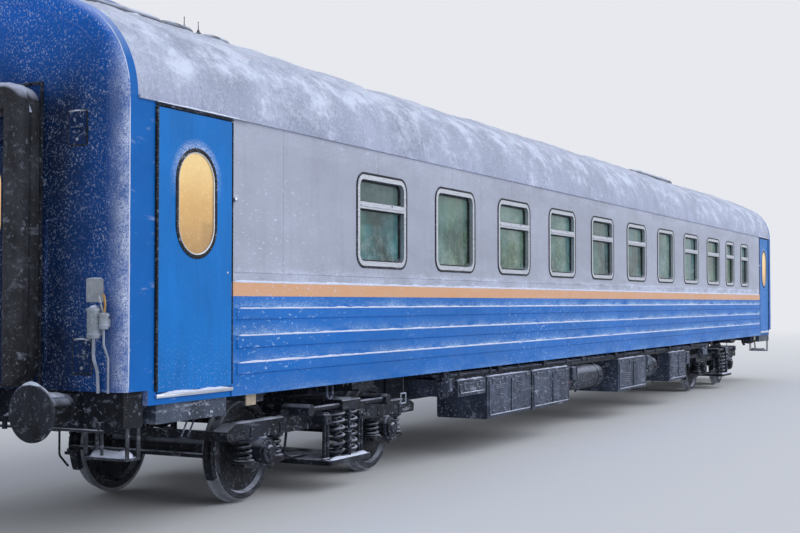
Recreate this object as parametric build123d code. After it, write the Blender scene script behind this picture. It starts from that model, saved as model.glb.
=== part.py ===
"""Long-distance passenger coach with compartments, as an assembly of separate pieces.

All sizes are in millimetres. +X runs along the coach, +Y across it and +Z up. The origin is on the ground
plane that the wheel flanges touch, under the middle of the coach. Heights named in the tables are above the
rail head, which lies FLANGE_DEPTH above that plane. The side at -Y is the compartment side, the side at +Y is
the corridor side, the end at -X is the front.
"""
import os
from math import cos, radians, sin, tan

from build123d import *

# Driving dimensions of the body
BODY_LENGTH = 24600.0
BODY_WIDTH = 3105.0
WALL = 90.0
END_PLATE = 90.0
FLANGE_DEPTH = 28.0
SILL_HEIGHT = 1095.0
GUTTER_HEIGHT = 3465.0
ROOF_SPRING_RISE = 5.0
ROOF_SIDE_RADIUS = 840.0
HAUNCH_ANGLE = 64.0
GUTTER_DEPTH = 18.0
GUTTER_RISE = 22.0
COLLAR_REACH = 75.0
COLLAR_RADIUS = 75.0
CORNER_NOTCH_LENGTH = 225.0
CORNER_NOTCH_HEIGHT = 1213.0
SEAT_GAP = 0.3
OVERLAP = 1.0
MOVING_GAP = 8.0

# Lower panel, stripe and ribs of the side walls
PANEL_PROUD = 10.0
PANEL_TOP_HEIGHT = 2068.0
BEAD_HEIGHT = 2150.0
BEAD_SIZE = 6.0
RIB_DEPTH = 12.0
RIB_BANDS = ((1268.0, 1376.0), (1493.0, 1610.0), (1739.0, 1845.0))
RIB_END_INSET = 60.0

# Side doors and gangway doors
DOOR_START = 329.0
DOOR_WIDTH = 988.0
DOOR_BOTTOM_HEIGHT = 1190.0
DOOR_HEAD = 35.0
DOOR_THICKNESS = 50.0
DOOR_PROUD = 10.0
DOOR_WINDOW_WIDTH = 500.0
DOOR_WINDOW_LENGTH = 850.0
DOOR_WINDOW_DROP = 765.0
PANE_THICKNESS = 24.0
GANGWAY_DOOR_WIDTH = 720.0
GANGWAY_DOOR_TOP_HEIGHT = 3190.0
GANGWAY_DOOR_SILL_GAP = 14.0
GANGWAY_DOOR_THICKNESS = 40.0
GANGWAY_WINDOW_WIDTH = 380.0
GANGWAY_WINDOW_LENGTH = 700.0
GANGWAY_WINDOW_DROP = 490.0

# Door hinges, the same on every door
HINGE_OFFSET = 14.0
HINGE_PIN_RADIUS = 7.0
HINGE_KNUCKLE_RADIUS = 12.0
HINGE_KNUCKLE_LENGTH = 100.0
HINGE_ARM_OFFSET = 2.0
HINGE_POCKET_RADIUS = 19.0
HINGE_PLAY = 6.0
HINGE_MARGIN = 330.0

# Windows: sill above the rail, head below the gutter, and the lengths before and after the compartments
WINDOW_BOTTOM_HEIGHT = 2275.0
WINDOW_TOP_DROP = 275.0
WINDOW_CORNER_RADIUS = 120.0
WIDE_WINDOW = 1053.0
NARROW_WINDOW = 750.0
FRONT_ROOMS = 3140.0
REAR_ROOMS = 5080.0
WINDOW_PITCH = 1820.0
SERVICE_WINDOW_FROM_REAR = 4460.0
WASHROOM_WINDOW_FROM_REAR = 3000.0
FRAME_FACE = 40.0
FRAME_PROUD = 6.0
FRAME_DEPTH = 60.0
TRANSOM_DROP = 270.0
TRANSOM_DEPTH = 70.0
PLAIN_WINDOWS = (1, 6)

# Floor, inner walls and berths
FLOOR_TOP_HEIGHT = 1177.0
FLOOR_THICKNESS = 80.0
INNER_WALL = 40.0
CORRIDOR_WIDTH = 760.0
DOORWAY_WIDTH = 700.0
DOORWAY_BORDER = 40.0
VESTIBULE_DEPTH = 1400.0
BERTH_WIDTH = 600.0
BERTH_END_GAP = 255.0
BERTH_INSET = 20.0
LOWER_BERTH_HEIGHT = 440.0
UPPER_BERTH_HEIGHT = 1450.0
BERTH_THICKNESS = 110.0

# Underframe
CENTRE_SILL_HALF_WIDTH = 190.0
CENTRE_SILL_BOTTOM_HEIGHT = 925.0
SILL_WEB = 14.0
SILL_FLANGE_WIDTH = 110.0
HEADSTOCK_BOTTOM_HEIGHT = 935.0
HEADSTOCK_INSET = 52.5
BODY_BOLSTER_LENGTH = 460.0
BODY_BOLSTER_BOTTOM_HEIGHT = 915.0
BODY_BOLSTER_TIP_HEIGHT = 1010.0
BODY_BOLSTER_FLAT = 600.0
CROSS_BEARER_WIDTH = 120.0
CROSS_BEARER_PITCH = 1500.0
BOGIE_CLEAR_LENGTH = 2000.0
RAIL_INSET = 82.0
RAIL_SPACING = 480.0
RAIL_WIDTH = 60.0
RAIL_DEPTH = 50.0
JACK_PAD_SIZE = 200.0
JACK_PAD_DEPTH = 25.0
CENTRE_PLATE_RADIUS = 225.0
KINGPIN_RADIUS = 45.0
KINGPIN_LENGTH = 130.0

# Coupler, buffers and gangway bellows
COUPLER_HEIGHT = 1060.0
COUPLER_REACH = 450.0
SHANK_WIDTH = 130.0
SHANK_HEIGHT = 130.0
SHANK_ROOM = 25.0
COUPLER_HEAD_HEIGHT = 290.0
COUPLER_CORNER_RADIUS = 16.0
# Plan of the coupler head, as distance behind its tip and distance across
COUPLER_HEAD = ((420, -90), (330, -210), (60, -250), (0, -215), (40, -160), (190, -110),
                (190, 60), (60, 120), (0, 190), (60, 235), (300, 190), (420, 90))
DRAFT_POCKET = 900.0
DRAFT_GEAR_LENGTH = 400.0
BUFFER_SPACING = 1850.0
BUFFER_REACH = 385.0
BUFFER_HEAD_RADIUS = 225.0
BUFFER_SLEEVE_RADIUS = 110.0
BUFFER_PLUNGER_RADIUS = 85.0
BUFFER_SLEEVE_LENGTH = 230.0
BUFFER_BASE_WIDTH = 300.0
BUFFER_BASE_HEIGHT = 250.0
BUFFER_BASE_THICKNESS = 25.0
BUFFER_HEAD_THICKNESS = 30.0
BUFFER_RIM_ROUND = 12.0
GANGWAY_HALF_WIDTH = 520.0
GANGWAY_TUBE = 200.0
GANGWAY_TOP_HEIGHT = 3600.0
GANGWAY_REACH = 300.0
GANGWAY_BOTTOM_HEIGHT = 1230.0
GANGWAY_FOLDS = 2
GANGWAY_WAIST = 24.0
GANGWAY_WAIST_INSET = 45.0
GANGWAY_LOBE_ROUND = 52.0

# Bogies and wheelsets
BOGIE_OVERHANG = 3800.0
WHEELBASE = 2500.0
WHEEL_RADIUS = 478.5
WHEEL_BACK_SPACING = 1440.0
WHEEL_RIM_WIDTH = 130.0
AXLE_RADIUS = 82.0
WHEEL_SEAT_RADIUS = 97.0
JOURNAL_RADIUS = 65.0
JOURNAL_END = 1110.0
SPRING_LINE = 1018.0
SIDE_BEAM_WIDTH = 160.0
SIDE_BEAM_BOTTOM_HEIGHT = 622.0
SIDE_BEAM_TOP_HEIGHT = 772.0
SIDE_BEAM_HALF_LENGTH = 1880.0
SIDE_BEAM_TIP_DEPTH = 95.0
SIDE_BEAM_TAPER = 140.0
BEAM_CORNER_RADIUS = 35.0
END_BEAM_WIDTH = 60.0
END_BEAM_DEPTH = 80.0
SPRING_POT_WALL = 12.0
SPRING_POT_DEPTH = 22.0
SPRING_POT_ROOM = 3.0
CROSS_BEAM_OFFSET = 520.0
CROSS_BEAM_WIDTH = 170.0
BOLSTER_TOP_HEIGHT = 897.0
BOLSTER_HALF_LENGTH = 1330.0
BOLSTER_WIDTH = 380.0
BOLSTER_SPRING_LINE = 1205.0
BOLSTER_SPRING_OFFSET = 130.0
BOLSTER_SPRING_RADIUS = 105.0
SPRING_PLANK_BOTTOM_HEIGHT = 252.0
SPRING_PLANK_THICKNESS = 50.0
AXLE_SPRING_OFFSET = 250.0
AXLE_SPRING_RADIUS = 80.0
SPRING_WIRE = 34.0
AXLE_BOX_RADIUS = 130.0
AXLE_BOX_BACK = 930.0
AXLE_BOX_FRONT = 1150.0
AXLE_BOX_COVER_DEPTH = 35.0
AXLE_BOX_COVER_STEP = 22.0
SPRING_ARM_WIDTH = 146.0
SPRING_ARM_TOP = 85.0
SPRING_ARM_TIP_DEPTH = 30.0
SPRING_ARM_ROOT_DEPTH = 70.0
SWING_LINK_OFFSET = 350.0
SWING_LINK_RADIUS = 20.0
SWING_LINK_SPACING = 62.0
TRACTION_ROD_HEIGHT = 840.0
TRACTION_ROD_RADIUS = 26.0
TRACTION_EYE_RADIUS = 58.0
TRACTION_EYE_OFFSET = 800.0
TRACTION_ROD_LINE = 1275.0
BOLSTER_SPRING_GAP = 15.0

# Brake gear: shoes on both sides of each wheel, hung from the bogie frame and joined by brake beams
SHOE_GAP = 8.0
SHOE_THICKNESS = 55.0
SHOE_WIDTH = 85.0
SHOE_LINE = 808.0
SHOE_HALF_ANGLE = 20.0
SHOE_DROP_ANGLE = 6.0
HANGER_THICKNESS = 24.0
HANGER_WIDTH = 46.0
HANGER_SEAT_LOW = 150.0
HANGER_SEAT_HIGH = 225.0
BRAKE_BEAM_RADIUS = 24.0

# Equipment between the bogies as start and end from the front, for a body of the layout length
LAYOUT_LENGTH = 24600.0
BATTERY_BOXES = ((6960.0, 8440.0), (8500.0, 9980.0))
CABINETS = ((12330.0, 13910.0), (15400.0, 16600.0))
RELAY_BOXES = ((6080.0, 6900.0), (17100.0, 17700.0))
CASE_BOTTOM_HEIGHT = 430.0
RELAY_BOX_BOTTOM_HEIGHT = 760.0
CASE_SIDE_INSET = 70.0
CASE_DEPTH = 700.0
CASE_ROUND = 25.0
CASE_BORDER = 45.0
CASE_DOOR_PROUD = 8.0
AIR_TANKS = ((10300.0, 12100.0), (14150.0, 15250.0))
AIR_TANK_RADIUS = 190.0
TANK_STRAP = 25.0
TANK_STRAP_INSET = 300.0
TANK_STRAP_RISE = 8.0
TANK_SADDLE_HALF_WIDTH = 80.0
BRAKE_CYLINDER = (16800.0, 17500.0)
BRAKE_CYLINDER_RADIUS = 165.0
BRAKE_PIPE_LINE = 420.0
BRAKE_PIPE_RADIUS = 21.0
END_COCK_LENGTH = 150.0
END_COCK_RADIUS = 38.0
END_COCK_DROP = 90.0
STIRRUPS = (3050.0, 5700.0)
STIRRUP_WIDTH = 110.0
STIRRUP_DEPTH = 95.0
STIRRUP_WIRE = 9.0

# Step boxes below the side doors
STEP_INSET = 25.0
STEP_DEPTH = 330.0
STEP_BOTTOM_HEIGHT = 940.0
STEP_WALL = 12.0
STEP_TREAD_DROP = 60.0
STEP_LEDGE = 22.0
STEP_ROD_RADIUS = 8.0
STEP_ROD_DROP = 190.0
STEP_ROD_PLACES = (0.68, 0.78)
STEP_ROD_ANGLE = 32.0

# Fittings on each end: hatches as distance in from the side, centre height, width and height
HATCHES = ((452.5, 3240.0, 180.0, 260.0), (392.5, 1480.0, 180.0, 260.0))
HATCH_PROUD = 8.0
HATCH_ROUND = 14.0
HATCH_HANDLE_RADIUS = 5.0
BARE_PLATE = (272.5, 1985.0, 168.0, 178.0)
BARE_PLATE_THICKNESS = 3.0
# Cable sockets as distance in from the side, bottom height, top height and radius
SOCKETS = ((217.5, 1620.0, 1830.0, 50.0), (137.5, 1690.0, 1790.0, 36.0))
SOCKET_LID_RISE = 14.0
SOCKET_LID_OVERHANG = 7.0
SOCKET_LEVER_LENGTH = 160.0
SOCKET_LEVER_RADIUS = 7.0
FOOT_STEP_WIDTH = 420.0
FOOT_STEP_DEPTH = 170.0
FOOT_STEP_INSET = 62.5
FOOT_STEP_HEIGHT = 700.0
FOOT_STEP_THICKNESS = 20.0
FOOT_STEP_STRAP = 40.0
RELEASE_ROD_RADIUS = 12.0
RELEASE_ROD_REACH = 1350.0
RELEASE_ROD_STANDOFF = 45.0

# Roof: ridge walkway, and ventilator hoods as start, end, centre line, width and rise over the crown
WALKWAY = (3750.0, 17150.0)
WALKWAY_WIDTH = 520.0
WALKWAY_RISE = 52.0
HOODS = ((550.0, 1950.0, -160.0, 620.0, 80.0), (2100.0, 2700.0, 0.0, 460.0, 165.0),
         (2702.0, 3300.0, 0.0, 540.0, 145.0), (17300.0, 20300.0, 0.0, 600.0, 150.0))
HOOD_ROUND = 90.0

# Values worked out from the driving dimensions
HALF_LENGTH = BODY_LENGTH / 2
HALF_WIDTH = BODY_WIDTH / 2
INNER_HALF_WIDTH = HALF_WIDTH - WALL
SIDE_CENTRE_Y = HALF_WIDTH - ROOF_SIDE_RADIUS
CROWN_RADIUS = ROOF_SIDE_RADIUS + SIDE_CENTRE_Y / cos(radians(HAUNCH_ANGLE))
DOOR_END = DOOR_START + DOOR_WIDTH
WINDOW_TOP_HEIGHT = GUTTER_HEIGHT - WINDOW_TOP_DROP
WINDOW_HEIGHT = WINDOW_TOP_HEIGHT - WINDOW_BOTTOM_HEIGHT
WINDOW_START = FRONT_ROOMS + WINDOW_PITCH / 2
WIDE_COUNT = int((BODY_LENGTH - FRONT_ROOMS - REAR_ROOMS) / WINDOW_PITCH + 0.01)
SERVICE_WINDOW = BODY_LENGTH - SERVICE_WINDOW_FROM_REAR
WASHROOM_WINDOW = BODY_LENGTH - WASHROOM_WINDOW_FROM_REAR
BOGIE_X = HALF_LENGTH - BOGIE_OVERHANG
BOGIE_ROOM = BOGIE_OVERHANG + SIDE_BEAM_HALF_LENGTH
SHOE_BACK = WHEEL_RADIUS + SHOE_GAP + SHOE_THICKNESS
END_BEAM_X = SIDE_BEAM_HALF_LENGTH - BEAM_CORNER_RADIUS


def up(height):
    """Height above the rail head, as a Z coordinate."""
    return height + FLANGE_DEPTH


def along(distance):
    """Distance from the front end, as an X coordinate."""
    return distance - HALF_LENGTH


def between_bogies(distance):
    """X of a place between the bogies, kept at its share of the length between them."""
    share = (distance - BOGIE_ROOM) / (LAYOUT_LENGTH - 2 * BOGIE_ROOM)
    return along(BOGIE_ROOM + share * (BODY_LENGTH - 2 * BOGIE_ROOM))


END_FACE = -HALF_LENGTH - COLLAR_REACH
ROOF_BASE = up(GUTTER_HEIGHT)
ROOF_SPRING = up(GUTTER_HEIGHT + ROOF_SPRING_RISE)
CROWN_CENTRE = ROOF_SPRING - SIDE_CENTRE_Y * tan(radians(HAUNCH_ANGLE))
ROOF_TOP = CROWN_CENTRE + CROWN_RADIUS
FLOOR_TOP = up(FLOOR_TOP_HEIGHT)
FLOOR_BOTTOM = FLOOR_TOP - FLOOR_THICKNESS
END_BOTTOM = up(CORNER_NOTCH_HEIGHT)
AXLE_Z = up(WHEEL_RADIUS)
RAIL_BOTTOM = up(BODY_BOLSTER_TIP_HEIGHT) - RAIL_DEPTH
RAIL_LINES = (INNER_HALF_WIDTH - RAIL_INSET - RAIL_SPACING, INNER_HALF_WIDTH - RAIL_INSET)
JACK_PAD_X = BOGIE_X
JACK_PAD_Y = INNER_HALF_WIDTH - JACK_PAD_SIZE / 2
JACK_PAD_BOTTOM = up(BODY_BOLSTER_TIP_HEIGHT) - JACK_PAD_DEPTH
BEAM_LOW = up(SIDE_BEAM_BOTTOM_HEIGHT)
BEAM_HIGH = up(SIDE_BEAM_TOP_HEIGHT)
SPRING_FOOT = AXLE_Z - SPRING_ARM_TOP
PLANK_LOW = up(SPRING_PLANK_BOTTOM_HEIGHT)
PLANK_HIGH = PLANK_LOW + SPRING_PLANK_THICKNESS
BOLSTER_SHALLOW = BEAM_HIGH + BOLSTER_SPRING_GAP


def block(x, y, z):
    """A block between two limits on each axis."""
    size = Box(x[1] - x[0], y[1] - y[0], z[1] - z[0])
    return Pos((x[0] + x[1]) / 2, (y[0] + y[1]) / 2, (z[0] + z[1]) / 2) * size


def rod_x(x, y, z, radius):
    """A round bar along X from x[0] to x[1]."""
    return Pos((x[0] + x[1]) / 2, y, z) * Rot(0, 90, 0) * Cylinder(radius, x[1] - x[0])


def rod_y(x, y, z, radius):
    """A round bar along Y from y[0] to y[1]."""
    return Pos(x, (y[0] + y[1]) / 2, z) * Rot(90, 0, 0) * Cylinder(radius, y[1] - y[0])


def rod_z(x, y, z, radius):
    """A round bar along Z from z[0] to z[1]."""
    return Pos(x, y, (z[0] + z[1]) / 2) * Cylinder(radius, z[1] - z[0])


def mirror_y(shape):
    """The same piece on the other side."""
    return mirror(shape, about=Plane.XZ)


def rear(shape):
    """The same piece at the rear end, turned half round."""
    return Rot(0, 0, 180) * shape


def group(solids):
    """Several separate solids as one piece."""
    return Compound(children=list(solids))


def section(inset, bottom):
    """Cross-section of the body from bottom to the roof line, all drawn in by inset."""
    half = HALF_WIDTH - inset
    side_radius = ROOF_SIDE_RADIUS - inset

    def haunch(angle, side):
        turn = radians(angle)
        return (side * (SIDE_CENTRE_Y + side_radius * cos(turn)), ROOF_SPRING + side_radius * sin(turn))

    crown = (0, CROWN_CENTRE + CROWN_RADIUS - inset)
    outline = [
        Line((-half, bottom), (half, bottom)),
        Line((half, bottom), (half, ROOF_SPRING)),
        ThreePointArc((half, ROOF_SPRING), haunch(HAUNCH_ANGLE / 2, 1), haunch(HAUNCH_ANGLE, 1)),
        ThreePointArc(haunch(HAUNCH_ANGLE, 1), crown, haunch(HAUNCH_ANGLE, -1)),
        ThreePointArc(haunch(HAUNCH_ANGLE, -1), haunch(HAUNCH_ANGLE / 2, -1), (-half, ROOF_SPRING)),
        Line((-half, ROOF_SPRING), (-half, bottom)),
    ]
    return make_face(outline)


def slab(face, x):
    """A cross-section face drawn out along X between two limits."""
    return extrude(Plane.YZ.offset(x[0]) * face, amount=x[1] - x[0])


def window_table():
    """Centre from the front end, width and number of each window of a side."""
    rows = [(WINDOW_START + n * WINDOW_PITCH, WIDE_WINDOW, n) for n in range(WIDE_COUNT)]
    rows.append((SERVICE_WINDOW, NARROW_WINDOW, WIDE_COUNT))
    rows.append((WASHROOM_WINDOW, NARROW_WINDOW, WIDE_COUNT + 1))
    return rows


def side_wall(side):
    """One side between the doors: flat skin above, prouder lower panel with three ribs."""
    wall_x = (along(DOOR_END + MOVING_GAP), -along(DOOR_END + MOVING_GAP))
    panel_top = up(PANEL_TOP_HEIGHT)
    bead = up(BEAD_HEIGHT)
    profile = Polyline(
        (INNER_HALF_WIDTH, up(SILL_HEIGHT)),
        (HALF_WIDTH + PANEL_PROUD, up(SILL_HEIGHT)),
        (HALF_WIDTH + PANEL_PROUD, panel_top),
        (HALF_WIDTH, panel_top),
        (HALF_WIDTH, bead),
        (HALF_WIDTH + BEAD_SIZE, bead + BEAD_SIZE / 2),
        (HALF_WIDTH, bead + BEAD_SIZE),
        (HALF_WIDTH, ROOF_BASE),
        (INNER_HALF_WIDTH, ROOF_BASE),
        close=True,
    )
    wall = slab(make_face(profile), wall_x)
    rib_length = wall_x[1] - wall_x[0] - 2 * RIB_END_INSET
    for bottom, top in RIB_BANDS:
        foot = Pos(0, (up(bottom) + up(top)) / 2) * Rectangle(rib_length, top - bottom)
        foot = Plane.XZ.offset(-HALF_WIDTH - PANEL_PROUD) * foot
        wall += extrude(foot, amount=-RIB_DEPTH, taper=45)
    for centre, width, _ in window_table():
        opening = Plane.XZ * (Pos(along(centre), up(WINDOW_BOTTOM_HEIGHT) + WINDOW_HEIGHT / 2)
                              * RectangleRounded(width, WINDOW_HEIGHT, WINDOW_CORNER_RADIUS))
        wall -= extrude(opening, amount=-2 * HALF_WIDTH)
    return wall if side > 0 else mirror_y(wall)


def window_frames():
    """Rounded frames with a flange outside, and a transom where the window has a top light."""
    pieces = []
    middle = up(WINDOW_BOTTOM_HEIGHT) + WINDOW_HEIGHT / 2
    for side in (-1, 1):
        for centre, width, number in window_table():
            spot = Pos(along(centre), middle)
            outer = RectangleRounded(width - 2 * SEAT_GAP, WINDOW_HEIGHT - 2 * SEAT_GAP,
                                     WINDOW_CORNER_RADIUS - SEAT_GAP)
            flange = RectangleRounded(width + FRAME_FACE / 2, WINDOW_HEIGHT + FRAME_FACE / 2,
                                      WINDOW_CORNER_RADIUS + FRAME_FACE / 4)
            light = RectangleRounded(width - 2 * FRAME_FACE, WINDOW_HEIGHT - 2 * FRAME_FACE,
                                     WINDOW_CORNER_RADIUS - FRAME_FACE)
            base = Plane.XZ.offset(-HALF_WIDTH)
            ring = extrude(base * (spot * outer), amount=FRAME_DEPTH)
            ring += extrude(base * (spot * flange), amount=-FRAME_PROUD)
            ring -= extrude(Plane.XZ * (spot * light), amount=-2 * HALF_WIDTH)
            if number not in PLAIN_WINDOWS:
                ring += block((along(centre) - width / 2 + FRAME_FACE - 1, along(centre) + width / 2 - FRAME_FACE + 1),
                              (HALF_WIDTH - FRAME_DEPTH / 2, HALF_WIDTH + FRAME_PROUD),
                              (up(WINDOW_TOP_HEIGHT) - TRANSOM_DROP - TRANSOM_DEPTH, up(WINDOW_TOP_HEIGHT) - TRANSOM_DROP))
            pieces.append(ring.solid() if side > 0 else mirror_y(ring).solid())
    return group(pieces)


def window_panes():
    """One glazing unit behind each frame, seated on the frame's inner face."""
    pieces = []
    middle = up(WINDOW_BOTTOM_HEIGHT) + WINDOW_HEIGHT / 2
    for side in (-1, 1):
        for centre, width, number in window_table():
            glass = RectangleRounded(width - FRAME_FACE, WINDOW_HEIGHT - FRAME_FACE,
                                     WINDOW_CORNER_RADIUS - FRAME_FACE / 2)
            face = Plane.XZ.offset(-HALF_WIDTH + FRAME_DEPTH) * (Pos(along(centre), middle) * glass)
            pane = extrude(face, amount=PANE_THICKNESS)
            pieces.append(pane.solid() if side > 0 else mirror_y(pane).solid())
    return group(pieces)


def roof_shell():
    """The arched roof with its gutter, between the two end walls."""
    shell = section(0, ROOF_BASE) - section(WALL, ROOF_BASE - 1)
    for side in (-1, 1):
        shell += Pos(side * HALF_WIDTH, ROOF_BASE + GUTTER_RISE / 2) * Rectangle(2 * GUTTER_DEPTH, GUTTER_RISE)
    return slab(shell, (-HALF_LENGTH + END_PLATE, HALF_LENGTH - END_PLATE))


def hinge_heights(bottom, top):
    """Centres of the three hinges of a door."""
    return (bottom + HINGE_MARGIN, (bottom + top) / 2, top - HINGE_MARGIN)


def hinge_pockets(bottom, top):
    """What the post loses for a door's hinges, in the door's own frame: hinge axis at the origin."""
    half = HINGE_KNUCKLE_LENGTH / 2 + HINGE_PLAY
    return [rod_z(0, 0, (z - half, z + half), HINGE_POCKET_RADIUS) for z in hinge_heights(bottom, top)]


def hinge_pins(bottom, top):
    """The pins that the post keeps in those pockets."""
    half = HINGE_KNUCKLE_LENGTH / 2 + HINGE_PLAY + 1
    return [rod_z(0, 0, (z - half, z + half), HINGE_PIN_RADIUS) for z in hinge_heights(bottom, top)]


def door_leaf(width, bottom, top, thickness, window):
    """A hinged leaf with its knuckles, in the door's own frame: it runs along +X and opens towards +Y."""
    edge = MOVING_GAP / 2
    leaf = block((edge, edge + width), (-HINGE_OFFSET - thickness, -HINGE_OFFSET), (bottom, top))
    for z in hinge_heights(bottom, top):
        half = HINGE_KNUCKLE_LENGTH / 2
        leaf += block((edge, edge + 3 * HINGE_KNUCKLE_RADIUS), (-HINGE_OFFSET - OVERLAP, -HINGE_ARM_OFFSET),
                      (z - half, z + half))
        leaf += rod_z(0, 0, (z - half, z + half), HINGE_KNUCKLE_RADIUS)
        leaf -= rod_z(0, 0, (z - half - 1, z + half + 1), HINGE_PIN_RADIUS + SEAT_GAP)
    glass_width, glass_length, centre = window
    radius = glass_width / 2 - 1
    hole = Plane.XZ * (Pos(edge + width / 2, centre) * RectangleRounded(glass_width, glass_length, radius))
    leaf -= Pos(0, HINGE_OFFSET, 0) * extrude(hole, amount=4 * thickness, both=True)
    return leaf


def door_pane(width, thickness, window):
    """The glass of a door leaf, seated in its hole."""
    edge = MOVING_GAP / 2
    glass_width, glass_length, centre = window
    face = RectangleRounded(glass_width - 2 * SEAT_GAP, glass_length - 2 * SEAT_GAP, glass_width / 2 - 1 - SEAT_GAP)
    pane = extrude(Plane.XZ * (Pos(edge + width / 2, centre) * face), amount=PANE_THICKNESS)
    return Pos(0, -HINGE_OFFSET - (thickness - PANE_THICKNESS) / 2, 0) * pane


DOOR_BOTTOM = up(DOOR_BOTTOM_HEIGHT)
DOOR_TOP = ROOF_BASE - DOOR_HEAD
SIDE_WINDOW = (DOOR_WINDOW_WIDTH, DOOR_WINDOW_LENGTH, ROOF_BASE - DOOR_WINDOW_DROP)
GANGWAY_DOOR_BOTTOM = END_BOTTOM + GANGWAY_DOOR_SILL_GAP
GANGWAY_DOOR_TOP = up(GANGWAY_DOOR_TOP_HEIGHT)
GANGWAY_WINDOW = (GANGWAY_WINDOW_WIDTH, GANGWAY_WINDOW_LENGTH, GANGWAY_DOOR_TOP - GANGWAY_WINDOW_DROP)
SIDE_HINGE = (along(DOOR_START) - MOVING_GAP / 2, -HALF_WIDTH - DOOR_PROUD + DOOR_THICKNESS + HINGE_OFFSET)
GANGWAY_HINGE = (-HALF_LENGTH + END_PLATE + HINGE_OFFSET - HINGE_KNUCKLE_RADIUS, (GANGWAY_DOOR_WIDTH + MOVING_GAP) / 2)


def at_side_door(shape):
    """From a door's own frame to the front door of the compartment side."""
    return Pos(SIDE_HINGE[0], SIDE_HINGE[1], 0) * shape


def at_gangway_door(shape):
    """From a door's own frame to the front gangway door."""
    return Pos(GANGWAY_HINGE[0], GANGWAY_HINGE[1], 0) * Rot(0, 0, -90) * shape


def end_wall():
    """Front end wall: collar ahead of the body, gangway opening, corner posts, lintels and door sills."""
    plate = slab(section(0, END_BOTTOM), (END_FACE, -HALF_LENGTH + END_PLATE))
    rim = [edge for edge in plate.edges().filter_by_position(Axis.X, END_FACE - 1, END_FACE + 1)
           if edge.center().Z > END_BOTTOM + 1]
    wall = fillet(rim, COLLAR_RADIUS)
    opening_half = (GANGWAY_DOOR_WIDTH + MOVING_GAP) / 2 + MOVING_GAP / 2
    wall -= block((END_FACE - 1, -HALF_LENGTH + END_PLATE + 1), (-opening_half, opening_half),
                  (END_BOTTOM + MOVING_GAP, GANGWAY_DOOR_TOP + MOVING_GAP))
    door_near = along(DOOR_START) - MOVING_GAP
    door_far = along(DOOR_END) + MOVING_GAP
    for side in (-1, 1):
        depth = tuple(sorted((side * INNER_HALF_WIDTH, side * HALF_WIDTH)))
        wall += block((-HALF_LENGTH + END_PLATE, door_near), depth, (END_BOTTOM, ROOF_BASE))
        wall += block((along(CORNER_NOTCH_LENGTH), door_near), depth, (up(SILL_HEIGHT), ROOF_BASE))
        wall += block((along(CORNER_NOTCH_LENGTH), door_far), depth, (up(SILL_HEIGHT), DOOR_BOTTOM - MOVING_GAP))
        wall += block((door_near - 1, door_far), depth, (DOOR_TOP + MOVING_GAP, ROOF_BASE))
    for pocket in hinge_pockets(DOOR_BOTTOM, DOOR_TOP):
        wall -= at_side_door(pocket)
        wall -= mirror_y(at_side_door(pocket))
    for pin in hinge_pins(DOOR_BOTTOM, DOOR_TOP):
        wall += at_side_door(pin)
        wall += mirror_y(at_side_door(pin))
    for pocket in hinge_pockets(GANGWAY_DOOR_BOTTOM, GANGWAY_DOOR_TOP):
        wall -= at_gangway_door(pocket)
    for pin in hinge_pins(GANGWAY_DOOR_BOTTOM, GANGWAY_DOOR_TOP):
        wall += at_gangway_door(pin)
    return wall


def floor_plate():
    """The floor between the headstocks and the side walls, raised underneath over the coupler shanks."""
    reach = HALF_LENGTH - CORNER_NOTCH_LENGTH
    plate = block((-reach, reach), (-INNER_HALF_WIDTH, INNER_HALF_WIDTH), (FLOOR_BOTTOM, FLOOR_TOP))
    half = SHANK_WIDTH / 2 + SHANK_ROOM
    shank_top = up(COUPLER_HEIGHT) + SHANK_HEIGHT / 2
    for end in (-1, 1):
        pocket_x = sorted((end * (reach + 1), end * (HALF_LENGTH - DRAFT_POCKET)))
        plate -= block(pocket_x, (-half, half), (FLOOR_BOTTOM - 1, shank_top + SHANK_ROOM / 2))
    return plate


def cross_bearer_places():
    """X of the bearers: evenly spaced between the bogies, and outside each bogie's centre."""
    inner_reach = BOGIE_X - BOGIE_CLEAR_LENGTH
    count = int(2 * inner_reach // CROSS_BEARER_PITCH)
    places = [-inner_reach + 2 * inner_reach * n / count for n in range(count + 1)]
    outer_reach = (BOGIE_X + HALF_LENGTH) / 2
    return [-outer_reach] + places + [outer_reach]


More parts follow.
